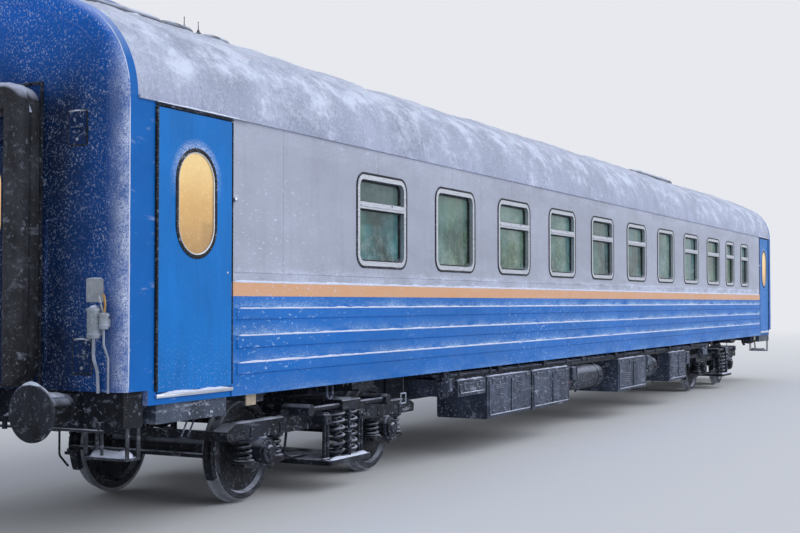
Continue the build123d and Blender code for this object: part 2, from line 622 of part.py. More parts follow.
def underframe():
    """Centre sill, headstocks, body bolsters with centre plates, side longerons and cross bearers."""
    sill_bottom = up(CENTRE_SILL_BOTTOM_HEIGHT)
    headstock_bottom = up(HEADSTOCK_BOTTOM_HEIGHT)
    reach = HALF_LENGTH - CORNER_NOTCH_LENGTH
    frame = None
    for side in (-1, 1):
        inner = side * (CENTRE_SILL_HALF_WIDTH - SILL_WEB)
        outer = side * CENTRE_SILL_HALF_WIDTH
        toe = side * (CENTRE_SILL_HALF_WIDTH + SILL_FLANGE_WIDTH)
        web = block((-reach, reach), sorted((inner, outer)), (sill_bottom, FLOOR_BOTTOM))
        web += block((-reach, reach), sorted((outer, toe)), (sill_bottom, sill_bottom + SILL_WEB))
        frame = web if frame is None else frame + web
    for end in (-1, 1):
        headstock = block(sorted((end * (HALF_LENGTH), end * reach)),
                          (-HALF_WIDTH + HEADSTOCK_INSET, HALF_WIDTH - HEADSTOCK_INSET),
                          (headstock_bottom, END_BOTTOM))
        headstock -= block(sorted((end * (HALF_LENGTH + 1), end * (reach - 1))),
                           (-CENTRE_SILL_HALF_WIDTH + SILL_WEB, CENTRE_SILL_HALF_WIDTH - SILL_WEB),
                           (up(COUPLER_HEIGHT) - SHANK_HEIGHT / 2 - SHANK_ROOM,
                            up(COUPLER_HEIGHT) + SHANK_HEIGHT / 2 + SHANK_ROOM))
        frame += headstock
        pocket_x = sorted((end * (HALF_LENGTH - DRAFT_POCKET), end * (HALF_LENGTH - DRAFT_POCKET - DRAFT_GEAR_LENGTH)))
        frame += block(pocket_x, (-CENTRE_SILL_HALF_WIDTH, CENTRE_SILL_HALF_WIDTH), (sill_bottom, FLOOR_BOTTOM))
        centre = end * BOGIE_X
        tip = up(BODY_BOLSTER_TIP_HEIGHT)
        low = up(BODY_BOLSTER_BOTTOM_HEIGHT)
        outline = Polyline((-INNER_HALF_WIDTH, FLOOR_BOTTOM), (-INNER_HALF_WIDTH, tip),
                           (-BODY_BOLSTER_FLAT, low), (BODY_BOLSTER_FLAT, low),
                           (INNER_HALF_WIDTH, tip), (INNER_HALF_WIDTH, FLOOR_BOTTOM), close=True)
        frame += slab(make_face(outline), (centre - BODY_BOLSTER_LENGTH / 2, centre + BODY_BOLSTER_LENGTH / 2))
        for side in (-1, 1):
            frame += block((centre - JACK_PAD_SIZE / 2, centre + JACK_PAD_SIZE / 2),
                           sorted((side * (JACK_PAD_Y - JACK_PAD_SIZE / 2), side * (JACK_PAD_Y + JACK_PAD_SIZE / 2))),
                           (JACK_PAD_BOTTOM, FLOOR_BOTTOM))
        frame += rod_z(centre, 0, (up(BOLSTER_TOP_HEIGHT) + SEAT_GAP, low + 1), CENTRE_PLATE_RADIUS)
        frame += rod_z(centre, 0, (up(BOLSTER_TOP_HEIGHT) - KINGPIN_LENGTH, low + 1), KINGPIN_RADIUS)
    inner_reach = BOGIE_X - BOGIE_CLEAR_LENGTH
    for x in cross_bearer_places():
        frame += block((x - CROSS_BEARER_WIDTH / 2, x + CROSS_BEARER_WIDTH / 2),
                       (-INNER_HALF_WIDTH, INNER_HALF_WIDTH), (up(BODY_BOLSTER_TIP_HEIGHT), FLOOR_BOTTOM))
    for y in RAIL_LINES:
        rail = block((-inner_reach, inner_reach), (y - RAIL_WIDTH / 2, y + RAIL_WIDTH / 2),
                     (RAIL_BOTTOM, up(BODY_BOLSTER_TIP_HEIGHT) + 1))
        frame += rail
        frame += mirror_y(rail)
    return frame


def inner_section(low, high):
    """Cross-section of the space inside the shell, above the floor, between two limits across it."""
    middle = (FLOOR_TOP + ROOF_TOP) / 2
    return section(WALL, FLOOR_TOP) & (Pos((low + high) / 2, middle) * Rectangle(high - low, ROOF_TOP - FLOOR_TOP))


def cross_wall_places():
    """Distances from the front end at which walls cross the coach."""
    compartments = [FRONT_ROOMS + n * WINDOW_PITCH for n in range(WIDE_COUNT + 1)]
    return compartments + [(SERVICE_WINDOW + WASHROOM_WINDOW) / 2]


CORRIDOR_WALL_Y = INNER_HALF_WIDTH - CORRIDOR_WIDTH


def cross_walls():
    """Compartment walls, up to the roof."""
    compartment_face = inner_section(-INNER_HALF_WIDTH, CORRIDOR_WALL_Y - INNER_WALL)
    walls = []
    for distance in cross_wall_places():
        x = along(distance)
        walls.append(slab(compartment_face, (x - INNER_WALL / 2, x + INNER_WALL / 2)).solid())
    return group(walls)


def vestibule_bulkheads():
    """Walls between the vestibules and the coach, each with a doorway to the corridor."""
    walls = []
    doorway_y = (CORRIDOR_WALL_Y + DOORWAY_BORDER, INNER_HALF_WIDTH - DOORWAY_BORDER)
    for end in (-1, 1):
        x = end * (HALF_LENGTH - VESTIBULE_DEPTH)
        bulkhead = slab(section(WALL, FLOOR_TOP), (x - INNER_WALL / 2, x + INNER_WALL / 2))
        bulkhead -= block((x - INNER_WALL, x + INNER_WALL), doorway_y, (FLOOR_TOP - 1, DOOR_TOP))
        walls.append(bulkhead.solid())
    return group(walls)


def corridor_wall():
    """Panels between the compartment doorways."""
    places = cross_wall_places()
    starts = [VESTIBULE_DEPTH + INNER_WALL / 2 + SEAT_GAP] + [place for place in places]
    stops = [place for place in places] + [BODY_LENGTH - VESTIBULE_DEPTH - INNER_WALL / 2 - SEAT_GAP]
    half = DOORWAY_WIDTH / 2
    walls = []
    edges = [starts[0]]
    for start, stop in zip(starts, stops):
        middle = (start + stop) / 2
        edges += [middle - half, middle + half]
    edges.append(stops[-1])
    for low, high in zip(edges[0::2], edges[1::2]):
        strip = inner_section(CORRIDOR_WALL_Y - INNER_WALL + SEAT_GAP, CORRIDOR_WALL_Y)
        walls.append(slab(strip, (along(low), along(high))).solid())
    return group(walls)


def berths():
    """Lower and upper berths against the cross walls of each compartment."""
    pieces = []
    places = cross_wall_places()[:WIDE_COUNT + 1]
    for low, high in zip(places[:-1], places[1:]):
        for wall, turn in ((low, 1), (high, -1)):
            foot = along(wall) + turn * INNER_WALL / 2
            x = sorted((foot, foot + turn * BERTH_WIDTH))
            y = (-INNER_HALF_WIDTH + BERTH_INSET, CORRIDOR_WALL_Y - INNER_WALL - BERTH_END_GAP)
            pieces.append(block(x, y, (FLOOR_TOP, FLOOR_TOP + LOWER_BERTH_HEIGHT)).solid())
            upper = FLOOR_TOP + UPPER_BERTH_HEIGHT
            pieces.append(block(x, y, (upper - BERTH_THICKNESS, upper)).solid())
    return group(pieces)


def gangway():
    """Rubber bellows round the front gangway: an upside-down U of fat rounded folds with waists between them."""
    outer_half = GANGWAY_HALF_WIDTH + GANGWAY_TUBE
    top = up(GANGWAY_TOP_HEIGHT)
    bottom = up(GANGWAY_BOTTOM_HEIGHT)

    def ring(inset):
        outer = Pos(0, (top + bottom) / 2) * RectangleRounded(
            2 * (outer_half - inset), top - bottom - 2 * inset, GANGWAY_TUBE - inset)
        way = Rectangle(2 * (GANGWAY_HALF_WIDTH + inset), 2 * (top - GANGWAY_TUBE - inset - bottom))
        return outer - Pos(0, bottom) * way

    fold = (GANGWAY_REACH - COLLAR_REACH - (GANGWAY_FOLDS - 1) * GANGWAY_WAIST) / GANGWAY_FOLDS
    bellows = None
    for n in range(GANGWAY_FOLDS):
        back = END_FACE - n * (fold + GANGWAY_WAIST)
        lobe = slab(ring(0), (back - fold, back))
        faces = lobe.faces().sort_by(Axis.X)
        lobe = fillet(faces[0].edges(), GANGWAY_LOBE_ROUND)
        bellows = lobe if bellows is None else bellows + lobe
        if n > 0:
            bellows += slab(ring(GANGWAY_WAIST_INSET), (back - OVERLAP, back + GANGWAY_WAIST + OVERLAP))
    return bellows


def coupler():
    """Automatic centre coupler at the front: shank, head with large and small tooth, and the lock between them."""
    z = up(COUPLER_HEIGHT)
    tip = -HALF_LENGTH - COUPLER_REACH
    shank = block((tip + 380, -HALF_LENGTH + DRAFT_POCKET), (-SHANK_WIDTH / 2, SHANK_WIDTH / 2),
                  (z - SHANK_HEIGHT / 2, z + SHANK_HEIGHT / 2))
    head = make_face(Polyline(*[(tip + behind, across) for behind, across in COUPLER_HEAD], close=True))
    head = fillet(head.vertices(), COUPLER_CORNER_RADIUS)
    half = COUPLER_HEAD_HEIGHT / 2
    body = extrude(Plane.XY.offset(z - half) * head, amount=COUPLER_HEAD_HEIGHT)
    body = chamfer(body.faces().sort_by(Axis.Z)[-1].edges(), COUPLER_CORNER_RADIUS / 2)
    lock = block((tip + 130, tip + 200), (-70, 20), (z - half / 2, z + half / 2))
    return shank + body + lock


def buffers():
    """Side buffers on both headstocks: rectangular base, sleeve, plunger and a flat round head."""
    pieces = []
    z = up(COUPLER_HEIGHT)
    head_back = BUFFER_REACH - BUFFER_HEAD_THICKNESS
    rim = BUFFER_REACH - BUFFER_RIM_ROUND
    flat = BUFFER_HEAD_RADIUS - 2 * BUFFER_RIM_ROUND
    outline = [
        Polyline((0, 0), (0, BUFFER_SLEEVE_RADIUS), (BUFFER_SLEEVE_LENGTH, BUFFER_SLEEVE_RADIUS),
                 (BUFFER_SLEEVE_LENGTH, BUFFER_PLUNGER_RADIUS), (head_back - 30, BUFFER_PLUNGER_RADIUS),
                 (head_back, BUFFER_HEAD_RADIUS), (rim, BUFFER_HEAD_RADIUS)),
        ThreePointArc((rim, BUFFER_HEAD_RADIUS), (BUFFER_REACH - BUFFER_RIM_ROUND / 4, flat + BUFFER_RIM_ROUND),
                      (BUFFER_REACH, flat)),
        Polyline((BUFFER_REACH, flat), (BUFFER_REACH, 0), (0, 0)),
    ]
    turned = revolve(Plane.XY * make_face(outline), axis=Axis.X)
    turned += extrude(Plane.YZ * RectangleRounded(BUFFER_BASE_WIDTH, BUFFER_BASE_HEIGHT, BUFFER_BASE_THICKNESS),
                      amount=BUFFER_BASE_THICKNESS)
    for y in (-BUFFER_SPACING / 2, BUFFER_SPACING / 2):
        ahead = Pos(-HALF_LENGTH, y, z) * Rot(0, 0, 180) * turned
        pieces.append(ahead.solid())
        pieces.append(rear(ahead).solid())
    return group(pieces)


def case(start, end, doors, side, bottom_height=CASE_BOTTOM_HEIGHT):
    """An underfloor case hung on the rails, with rounded long edges and door fields on its outer face."""
    low = up(bottom_height)
    near, far = between_bogies(start), between_bogies(end)
    outer = HALF_WIDTH - CASE_SIDE_INSET
    shape = block((near, far), (outer - CASE_DEPTH, outer), (low, RAIL_BOTTOM))
    lower_rims = [edge for edge in shape.edges().filter_by(Axis.X) if edge.center().Z < low + 1]
    shape = fillet(lower_rims, CASE_ROUND)
    width = (far - near) / doors
    for n in range(doors):
        field = RectangleRounded(width - 2 * CASE_BORDER, RAIL_BOTTOM - low - 2 * CASE_BORDER, CASE_ROUND)
        spot = Pos(near + (n + 0.5) * width, (low + RAIL_BOTTOM) / 2)
        shape += extrude(Plane.XZ.offset(-outer - CASE_DOOR_PROUD) * (spot * field),
                         amount=CASE_DOOR_PROUD + OVERLAP)
    return shape if side > 0 else mirror_y(shape)


def battery_boxes():
    """Battery cases on both sides."""
    return group([case(start, end, 2, side).solid() for side in (-1, 1) for start, end in BATTERY_BOXES])


def equipment_cabinets():
    """Tall cabinets for the electrical gear."""
    return group([case(start, end, 2, side).solid() for side in (-1, 1) for start, end in CABINETS])


def strapped_tank(start, end, radius, line):
    """A tank with domed ends, held under the rails by two strap rings on saddles."""
    z = RAIL_BOTTOM - radius - 2 * TANK_STRAP
    inner, outer = line
    middle = (inner + outer) / 2
    near, far = between_bogies(start), between_bogies(end)
    tank = rod_x((near, far), middle, z, radius)
    tank = fillet(tank.edges().filter_by(GeomType.CIRCLE), radius * 0.45)
    inset = min(TANK_STRAP_INSET, (far - near) / 4)
    for x in (near + inset, far - inset):
        strap_x = (x - TANK_STRAP, x + TANK_STRAP)
        tank += rod_x(strap_x, middle, z, radius + TANK_STRAP_RISE)
        tank += block(strap_x, (inner, outer), (RAIL_BOTTOM - TANK_STRAP, RAIL_BOTTOM))
        tank += block(strap_x, (middle - TANK_SADDLE_HALF_WIDTH, middle + TANK_SADDLE_HALF_WIDTH),
                      (z, RAIL_BOTTOM - OVERLAP))
    return tank


def air_tanks():
    """Air tanks lengthwise below the compartment side."""
    return group([mirror_y(strapped_tank(start, end, AIR_TANK_RADIUS, RAIL_LINES)).solid()
                  for start, end in AIR_TANKS])


def roof_body(inset):
    """The whole roof volume, for what sits on it to be cut against."""
    return slab(section(inset, ROOF_BASE), (-HALF_LENGTH, HALF_LENGTH))


def roof_walkway():
    """Low walkway along the ridge, cut to the curve of the roof."""
    top = ROOF_TOP + WALKWAY_RISE
    plank = block((along(WALKWAY[0]), along(WALKWAY[1])), (-WALKWAY_WIDTH / 2, WALKWAY_WIDTH / 2), (ROOF_SPRING, top))
    rims = [edge for edge in plank.edges().filter_by(Axis.X) if edge.center().Z > top - 1]
    return chamfer(rims, WALKWAY_RISE / 3) - roof_body(-SEAT_GAP)


def roof_hoods():
    """Rounded ventilator hoods on the roof."""
    pieces = []
    for start, end, y, width, rise in HOODS:
        top = ROOF_TOP + rise
        plan = Pos(along((start + end) / 2), y) * RectangleRounded(end - start, width, width * 0.45)
        hood = extrude(Plane.XY.offset(ROOF_SPRING) * plan, amount=top - ROOF_SPRING)
        hood = fillet(hood.edges().group_by(Axis.Z)[-1], HOOD_ROUND)
        pieces.append((hood - roof_body(-SEAT_GAP)).solid())
    return group(pieces)


def entry_steps():
    """Below each side door: an apron with cheeks and a tread, a ledge under the door and two stay rods."""
    pieces = []
    low, high = up(STEP_BOTTOM_HEIGHT), up(SILL_HEIGHT)
    outer = HALF_WIDTH - STEP_INSET
    start, stop = along(DOOR_START + STEP_INSET), along(DOOR_END - STEP_INSET)
    box = block((start, stop), (outer - STEP_DEPTH, outer), (low, high))
    box -= block((start + STEP_WALL, stop - STEP_WALL), (outer - STEP_DEPTH - 1, outer - STEP_WALL),
                 (low - 1, high - STEP_TREAD_DROP - STEP_WALL))
    box -= block((start + STEP_WALL, stop - STEP_WALL), (outer - STEP_DEPTH - 1, outer - STEP_WALL),
                 (high - STEP_TREAD_DROP, high - STEP_WALL))
    for place in STEP_ROD_PLACES:
        x = start + (stop - start) * place
        foot = Pos(x, outer - STEP_DEPTH / 2, low + OVERLAP)
        rod = Cylinder(STEP_ROD_RADIUS, STEP_ROD_DROP, align=(Align.CENTER, Align.CENTER, Align.MAX))
        bar = block((start + STEP_WALL - OVERLAP, stop - STEP_WALL + OVERLAP),
                    (outer - STEP_DEPTH / 2 - STEP_WALL, outer - STEP_DEPTH / 2 + STEP_WALL),
                    (low, low + 2 * STEP_WALL))
        box += bar
        box += foot * Rot(0, STEP_ROD_ANGLE, 0) * rod
    for side in (-1, 1):
        own = box if side > 0 else mirror_y(box)
        pieces.append(own.solid())
        pieces.append(rear(own).solid())
    return group(pieces)


def bogie_frame():
    """Tapered side beams with spring pots, cross and end beams, swing-link spring plank and traction rods."""
    half = SIDE_BEAM_HALF_LENGTH
    outline = make_face(Polyline(
        (-half, BEAM_LOW), (half, BEAM_LOW), (half, BEAM_LOW + SIDE_BEAM_TIP_DEPTH), (half - SIDE_BEAM_TAPER, BEAM_HIGH),
        (-half + SIDE_BEAM_TAPER, BEAM_HIGH), (-half, BEAM_LOW + SIDE_BEAM_TIP_DEPTH), close=True))
    outline = fillet(outline.vertices(), BEAM_CORNER_RADIUS)
    beam = extrude(Plane.XZ.offset(-SPRING_LINE - SIDE_BEAM_WIDTH / 2) * outline, amount=SIDE_BEAM_WIDTH)
    pot_radius = AXLE_SPRING_RADIUS + SPRING_POT_ROOM + SPRING_POT_WALL
    for end in (-1, 1):
        for turn in (-1, 1):
            x = end * WHEELBASE / 2 + turn * AXLE_SPRING_OFFSET
            pot_z = (BEAM_LOW - SPRING_POT_DEPTH, BEAM_LOW + OVERLAP)
            beam += rod_z(x, SPRING_LINE, pot_z, pot_radius) - rod_z(
                x, SPRING_LINE, (BEAM_LOW - SPRING_POT_DEPTH - 1, BEAM_LOW), AXLE_SPRING_RADIUS + SPRING_POT_ROOM)
        link_y = BOLSTER_SPRING_LINE + SWING_LINK_RADIUS
        link_x = end * SWING_LINK_OFFSET
        bracket = block((link_x - SWING_LINK_SPACING, link_x + SWING_LINK_SPACING),
                        (SPRING_LINE, link_y + 2 * SWING_LINK_RADIUS), (BEAM_HIGH - 110, BEAM_HIGH - 20))
        beam += fillet(bracket.edges().filter_by(Axis.Z), SWING_LINK_RADIUS)
        for offset in (-SWING_LINK_SPACING / 2, SWING_LINK_SPACING / 2):
            beam += rod_z(link_x + offset, link_y, (PLANK_HIGH - OVERLAP, BEAM_HIGH - 60), SWING_LINK_RADIUS)
    rod_z_place = up(TRACTION_ROD_HEIGHT)
    for end in (-1, 1):
        eye_x = end * TRACTION_EYE_OFFSET
        lug = Polyline((eye_x - 2 * TRACTION_EYE_RADIUS, BEAM_HIGH - 1), (eye_x + 2 * TRACTION_EYE_RADIUS, BEAM_HIGH - 1),
                       (eye_x + TRACTION_EYE_RADIUS, rod_z_place), (eye_x - TRACTION_EYE_RADIUS, rod_z_place), close=True)
        beam += extrude(Plane.XZ.offset(-SPRING_LINE - SIDE_BEAM_WIDTH / 2) * make_face(lug), amount=SIDE_BEAM_WIDTH / 2)
        beam += rod_y(eye_x, (SPRING_LINE, TRACTION_ROD_LINE + TRACTION_EYE_RADIUS), rod_z_place, TRACTION_EYE_RADIUS)
        rod_x_limits = sorted((eye_x, end * (BOLSTER_WIDTH / 2 + SEAT_GAP)))
        beam += rod_x(rod_x_limits, TRACTION_ROD_LINE, rod_z_place, TRACTION_ROD_RADIUS)
    frame = beam + mirror_y(beam)
    for end in (-1, 1):
        x = end * CROSS_BEAM_OFFSET
        frame += block((x - CROSS_BEAM_WIDTH / 2, x + CROSS_BEAM_WIDTH / 2), (-SPRING_LINE, SPRING_LINE),
                       (BEAM_LOW + 15, BEAM_HIGH - 10))
        x = end * END_BEAM_X
        frame += block((x - END_BEAM_WIDTH / 2, x + END_BEAM_WIDTH / 2), (-SPRING_LINE, SPRING_LINE),
                       (BEAM_LOW + 10, BEAM_LOW + 10 + END_BEAM_DEPTH))
    plank_half = BOLSTER_SPRING_LINE + BOLSTER_SPRING_RADIUS + 20
    plank_end = SWING_LINK_OFFSET + SWING_LINK_SPACING / 2 + 2 * SWING_LINK_RADIUS
    plank = block((-plank_end, plank_end), (-plank_half, plank_half), (PLANK_LOW, PLANK_HIGH))
    return frame + fillet(plank.edges().filter_by(Axis.Z), 2 * SWING_LINK_RADIUS)


def bogie_bolster():
    """Swing bolster: deep in the middle, shallow over the side beams, with round corners and spring caps."""
    top = up(BOLSTER_TOP_HEIGHT)
    deep = BOLSTER_SHALLOW - 110
    inner = SPRING_LINE - SIDE_BEAM_WIDTH / 2 - 40
    half = BOLSTER_HALF_LENGTH
    outline = make_face(Polyline((-half, top), (-half, BOLSTER_SHALLOW), (-inner, BOLSTER_SHALLOW), (-inner + 140, deep),
                                 (inner - 140, deep), (inner, BOLSTER_SHALLOW), (half, BOLSTER_SHALLOW), (half, top),
                                 close=True))
    outline = fillet(outline.vertices(), 0.6 * BEAM_CORNER_RADIUS)
    bolster = slab(outline, (-BOLSTER_WIDTH / 2, BOLSTER_WIDTH / 2))
    bolster -= rod_z(0, 0, (top - KINGPIN_LENGTH - 20, top + 1), KINGPIN_RADIUS + SEAT_GAP)
    return bolster


def axle_boxes():
    """Four axle boxes: a turned housing with a stepped cover, and tapered arms with a cup for each spring."""
    bore = JOURNAL_RADIUS + SEAT_GAP
    cover = AXLE_BOX_RADIUS - AXLE_BOX_COVER_STEP
    face = make_face(Polyline(
        (bore, AXLE_BOX_BACK), (AXLE_BOX_RADIUS, AXLE_BOX_BACK), (AXLE_BOX_RADIUS, AXLE_BOX_FRONT - AXLE_BOX_COVER_DEPTH),
        (cover, AXLE_BOX_FRONT - AXLE_BOX_COVER_DEPTH), (cover, AXLE_BOX_FRONT), (0, AXLE_BOX_FRONT),
        (0, JOURNAL_END + 3), (bore, JOURNAL_END + 3), close=True))
    housing = revolve(Plane.XY * face, axis=Axis.Y)
    cup_radius = AXLE_SPRING_RADIUS + SPRING_POT_ROOM + SPRING_POT_WALL
    reach = AXLE_SPRING_OFFSET + cup_radius
    arms = make_face(Polyline(
        (-reach, -SPRING_ARM_TOP), (-reach, -SPRING_ARM_TOP - SPRING_ARM_TIP_DEPTH),
        (-AXLE_BOX_RADIUS, -SPRING_ARM_TOP - SPRING_ARM_ROOT_DEPTH),
        (AXLE_BOX_RADIUS, -SPRING_ARM_TOP - SPRING_ARM_ROOT_DEPTH), (reach, -SPRING_ARM_TOP - SPRING_ARM_TIP_DEPTH),
        (reach, -SPRING_ARM_TOP), close=True))
    arms = extrude(Plane.XZ.offset(-SPRING_LINE - SPRING_ARM_WIDTH / 2) * arms, amount=SPRING_ARM_WIDTH)
    for turn in (-1, 1):
        cup_z = (-SPRING_ARM_TOP - OVERLAP, -SPRING_ARM_TOP + SPRING_POT_DEPTH)
        x = turn * AXLE_SPRING_OFFSET
        arms += rod_z(x, SPRING_LINE, cup_z, cup_radius) - rod_z(
            x, SPRING_LINE, (-SPRING_ARM_TOP, -SPRING_ARM_TOP + SPRING_POT_DEPTH + 1),
            AXLE_SPRING_RADIUS + SPRING_POT_ROOM)
    bore_cut = rod_y(0, (AXLE_BOX_BACK - 1, JOURNAL_END + 3), 0, bore)
    box = housing + (arms - bore_cut)
    pieces = []
    for end in (-1, 1):
        placed = Pos(end * WHEELBASE / 2, 0, AXLE_Z) * box
        pieces.append(placed.solid())
        pieces.append(mirror_y(placed).solid())
    return group(pieces)


def coil_spring(radius, length):
    """A coil spring standing on the origin, as a turned stack of round coils on its inner tube."""
    count = round(length / (1.35 * SPRING_WIRE))
    pitch = length / count
    inside = radius - SPRING_WIRE / 2
    edges = [Line((0, 0), (inside, 0))]
    for n in range(count):
        low = n * pitch
        edges.append(ThreePointArc((inside, low), (radius, low + pitch / 2), (inside, low + pitch)))
    edges.append(Polyline((inside, length), (0, length), (0, 0)))
    return revolve(Plane.XZ * make_face(edges), axis=Axis.Z)


def springs():
    """Axle box springs and bolster springs of one bogie."""
    axle_spring = coil_spring(AXLE_SPRING_RADIUS, BEAM_LOW - SPRING_FOOT)
    bolster_spring = coil_spring(BOLSTER_SPRING_RADIUS, BOLSTER_SHALLOW - PLANK_HIGH)
    pieces = []
    for side in (-1, 1):
        for end in (-1, 1):
            for turn in (-1, 1):
                x = end * WHEELBASE / 2 + turn * AXLE_SPRING_OFFSET
                pieces.append((Pos(x, side * SPRING_LINE, SPRING_FOOT) * axle_spring).solid())
            foot = Pos(end * BOLSTER_SPRING_OFFSET, side * BOLSTER_SPRING_LINE, PLANK_HIGH)
            pieces.append((foot * bolster_spring).solid())
    return group(pieces)


def shoe_set(seat):
    """Two shoes with hangers and their brake beam, outside a wheel pair on the origin; seat is the beam's face."""
    low_angle = -SHOE_DROP_ANGLE - SHOE_HALF_ANGLE
    high_angle = -SHOE_DROP_ANGLE + SHOE_HALF_ANGLE

    def on_circle(radius, angle):
        return (radius * cos(radians(angle)), radius * sin(radians(angle)))

    inner = SHOE_BACK - SHOE_THICKNESS
    shoe = make_face([
        ThreePointArc(on_circle(inner, low_angle), on_circle(inner, -SHOE_DROP_ANGLE), on_circle(inner, high_angle)),
        Line(on_circle(inner, high_angle), on_circle(SHOE_BACK, high_angle)),
        ThreePointArc(on_circle(SHOE_BACK, high_angle), on_circle(SHOE_BACK, -SHOE_DROP_ANGLE),
                      on_circle(SHOE_BACK, low_angle)),
        Line(on_circle(SHOE_BACK, low_angle), on_circle(inner, low_angle)),
    ])
    hanger = make_face(Polyline(
        (SHOE_BACK - 6, -35), (SHOE_BACK + HANGER_WIDTH, -35), (SHOE_BACK + HANGER_WIDTH, 40), (seat, HANGER_SEAT_LOW),
        (seat, HANGER_SEAT_HIGH), (seat - HANGER_WIDTH, HANGER_SEAT_HIGH), (SHOE_BACK - 6, 60), close=True))
    solid = rod_y(SHOE_BACK + HANGER_WIDTH / 2, (-SHOE_LINE, SHOE_LINE), 0, BRAKE_BEAM_RADIUS)
    for side in (-1, 1):
        y = side * SHOE_LINE
        solid += extrude(Plane.XZ.offset(-y - SHOE_WIDTH / 2) * shoe, amount=SHOE_WIDTH)
        solid += extrude(Plane.XZ.offset(-y - HANGER_THICKNESS / 2) * hanger, amount=HANGER_THICKNESS)
    return solid


def brake_gear():
    """Clasp brake of one bogie: a shoe set inside and outside each wheel pair."""
    inner_seat = WHEELBASE / 2 - CROSS_BEAM_OFFSET - CROSS_BEAM_WIDTH / 2
    outer_seat = END_BEAM_X - END_BEAM_WIDTH / 2 - WHEELBASE / 2
    outer_set = Pos(WHEELBASE / 2, 0, AXLE_Z) * shoe_set(outer_seat)
    inner_set = Pos(WHEELBASE / 2, 0, AXLE_Z) * Rot(0, 0, 180) * shoe_set(inner_seat)
    pieces = []
    for piece in (outer_set, inner_set):
        pieces.append(piece.solid())
        pieces.append(rear(piece).solid())
    return group(pieces)


def wheels():
    """Two wheels with coned tread, flange, dished web and hub, centred on their axle."""
    back = WHEEL_BACK_SPACING / 2
    face = back + WHEEL_RIM_WIDTH
    r = WHEEL_RADIUS
    tip = r + FLANGE_DEPTH
    bore = WHEEL_SEAT_RADIUS + SEAT_GAP
    hub = WHEEL_SEAT_RADIUS + 38
    web_low = hub + 12
    web_high = r - 88
    web_middle = (web_low + web_high) / 2
    outline = [
        Polyline((bore, back - 15), (hub, back - 15), (web_low, back + 25)),
        ThreePointArc((web_low, back + 25), (web_middle, back + 58), (web_high, back + 55)),
        Polyline((web_high, back + 55), (r - 75, back), (tip - 12, back)),
        ThreePointArc((tip - 12, back), (tip, back + 14), (tip - 12, back + 28)),
        ThreePointArc((tip - 12, back + 28), (r + 4, back + 36), (r, back + 46)),
        Polyline((r, back + 46), (r - 4, face - 8), (r - 12, face), (r - 68, face), (web_high, back + 88)),
        ThreePointArc((web_high, back + 88), (web_middle, back + 88), (web_low, back + 60)),
        Polyline((web_low, back + 60), (hub, back + 150), (bore, back + 150), (bore, back - 15)),
    ]
    wheel = revolve(Plane.XY * make_face(outline), axis=Axis.Y)
    return group([wheel.solid(), mirror_y(wheel).solid()])


def axle():
    """Axle with journals, wheel seats and a slimmer middle, centred on the origin."""
    back = WHEEL_BACK_SPACING / 2
    profile = Polyline(
        (0, 0), (AXLE_RADIUS, 0), (AXLE_RADIUS, back - 60), (WHEEL_SEAT_RADIUS, back - 30),
        (WHEEL_SEAT_RADIUS, back + 155), (JOURNAL_RADIUS + 12, back + 165), (JOURNAL_RADIUS + 12, AXLE_BOX_BACK - 15),
        (JOURNAL_RADIUS, AXLE_BOX_BACK - 5), (JOURNAL_RADIUS, JOURNAL_END), (0, JOURNAL_END), close=True)
    half = revolve(Plane.XY * make_face(profile), axis=Axis.Y)
    return half + mirror_y(half)


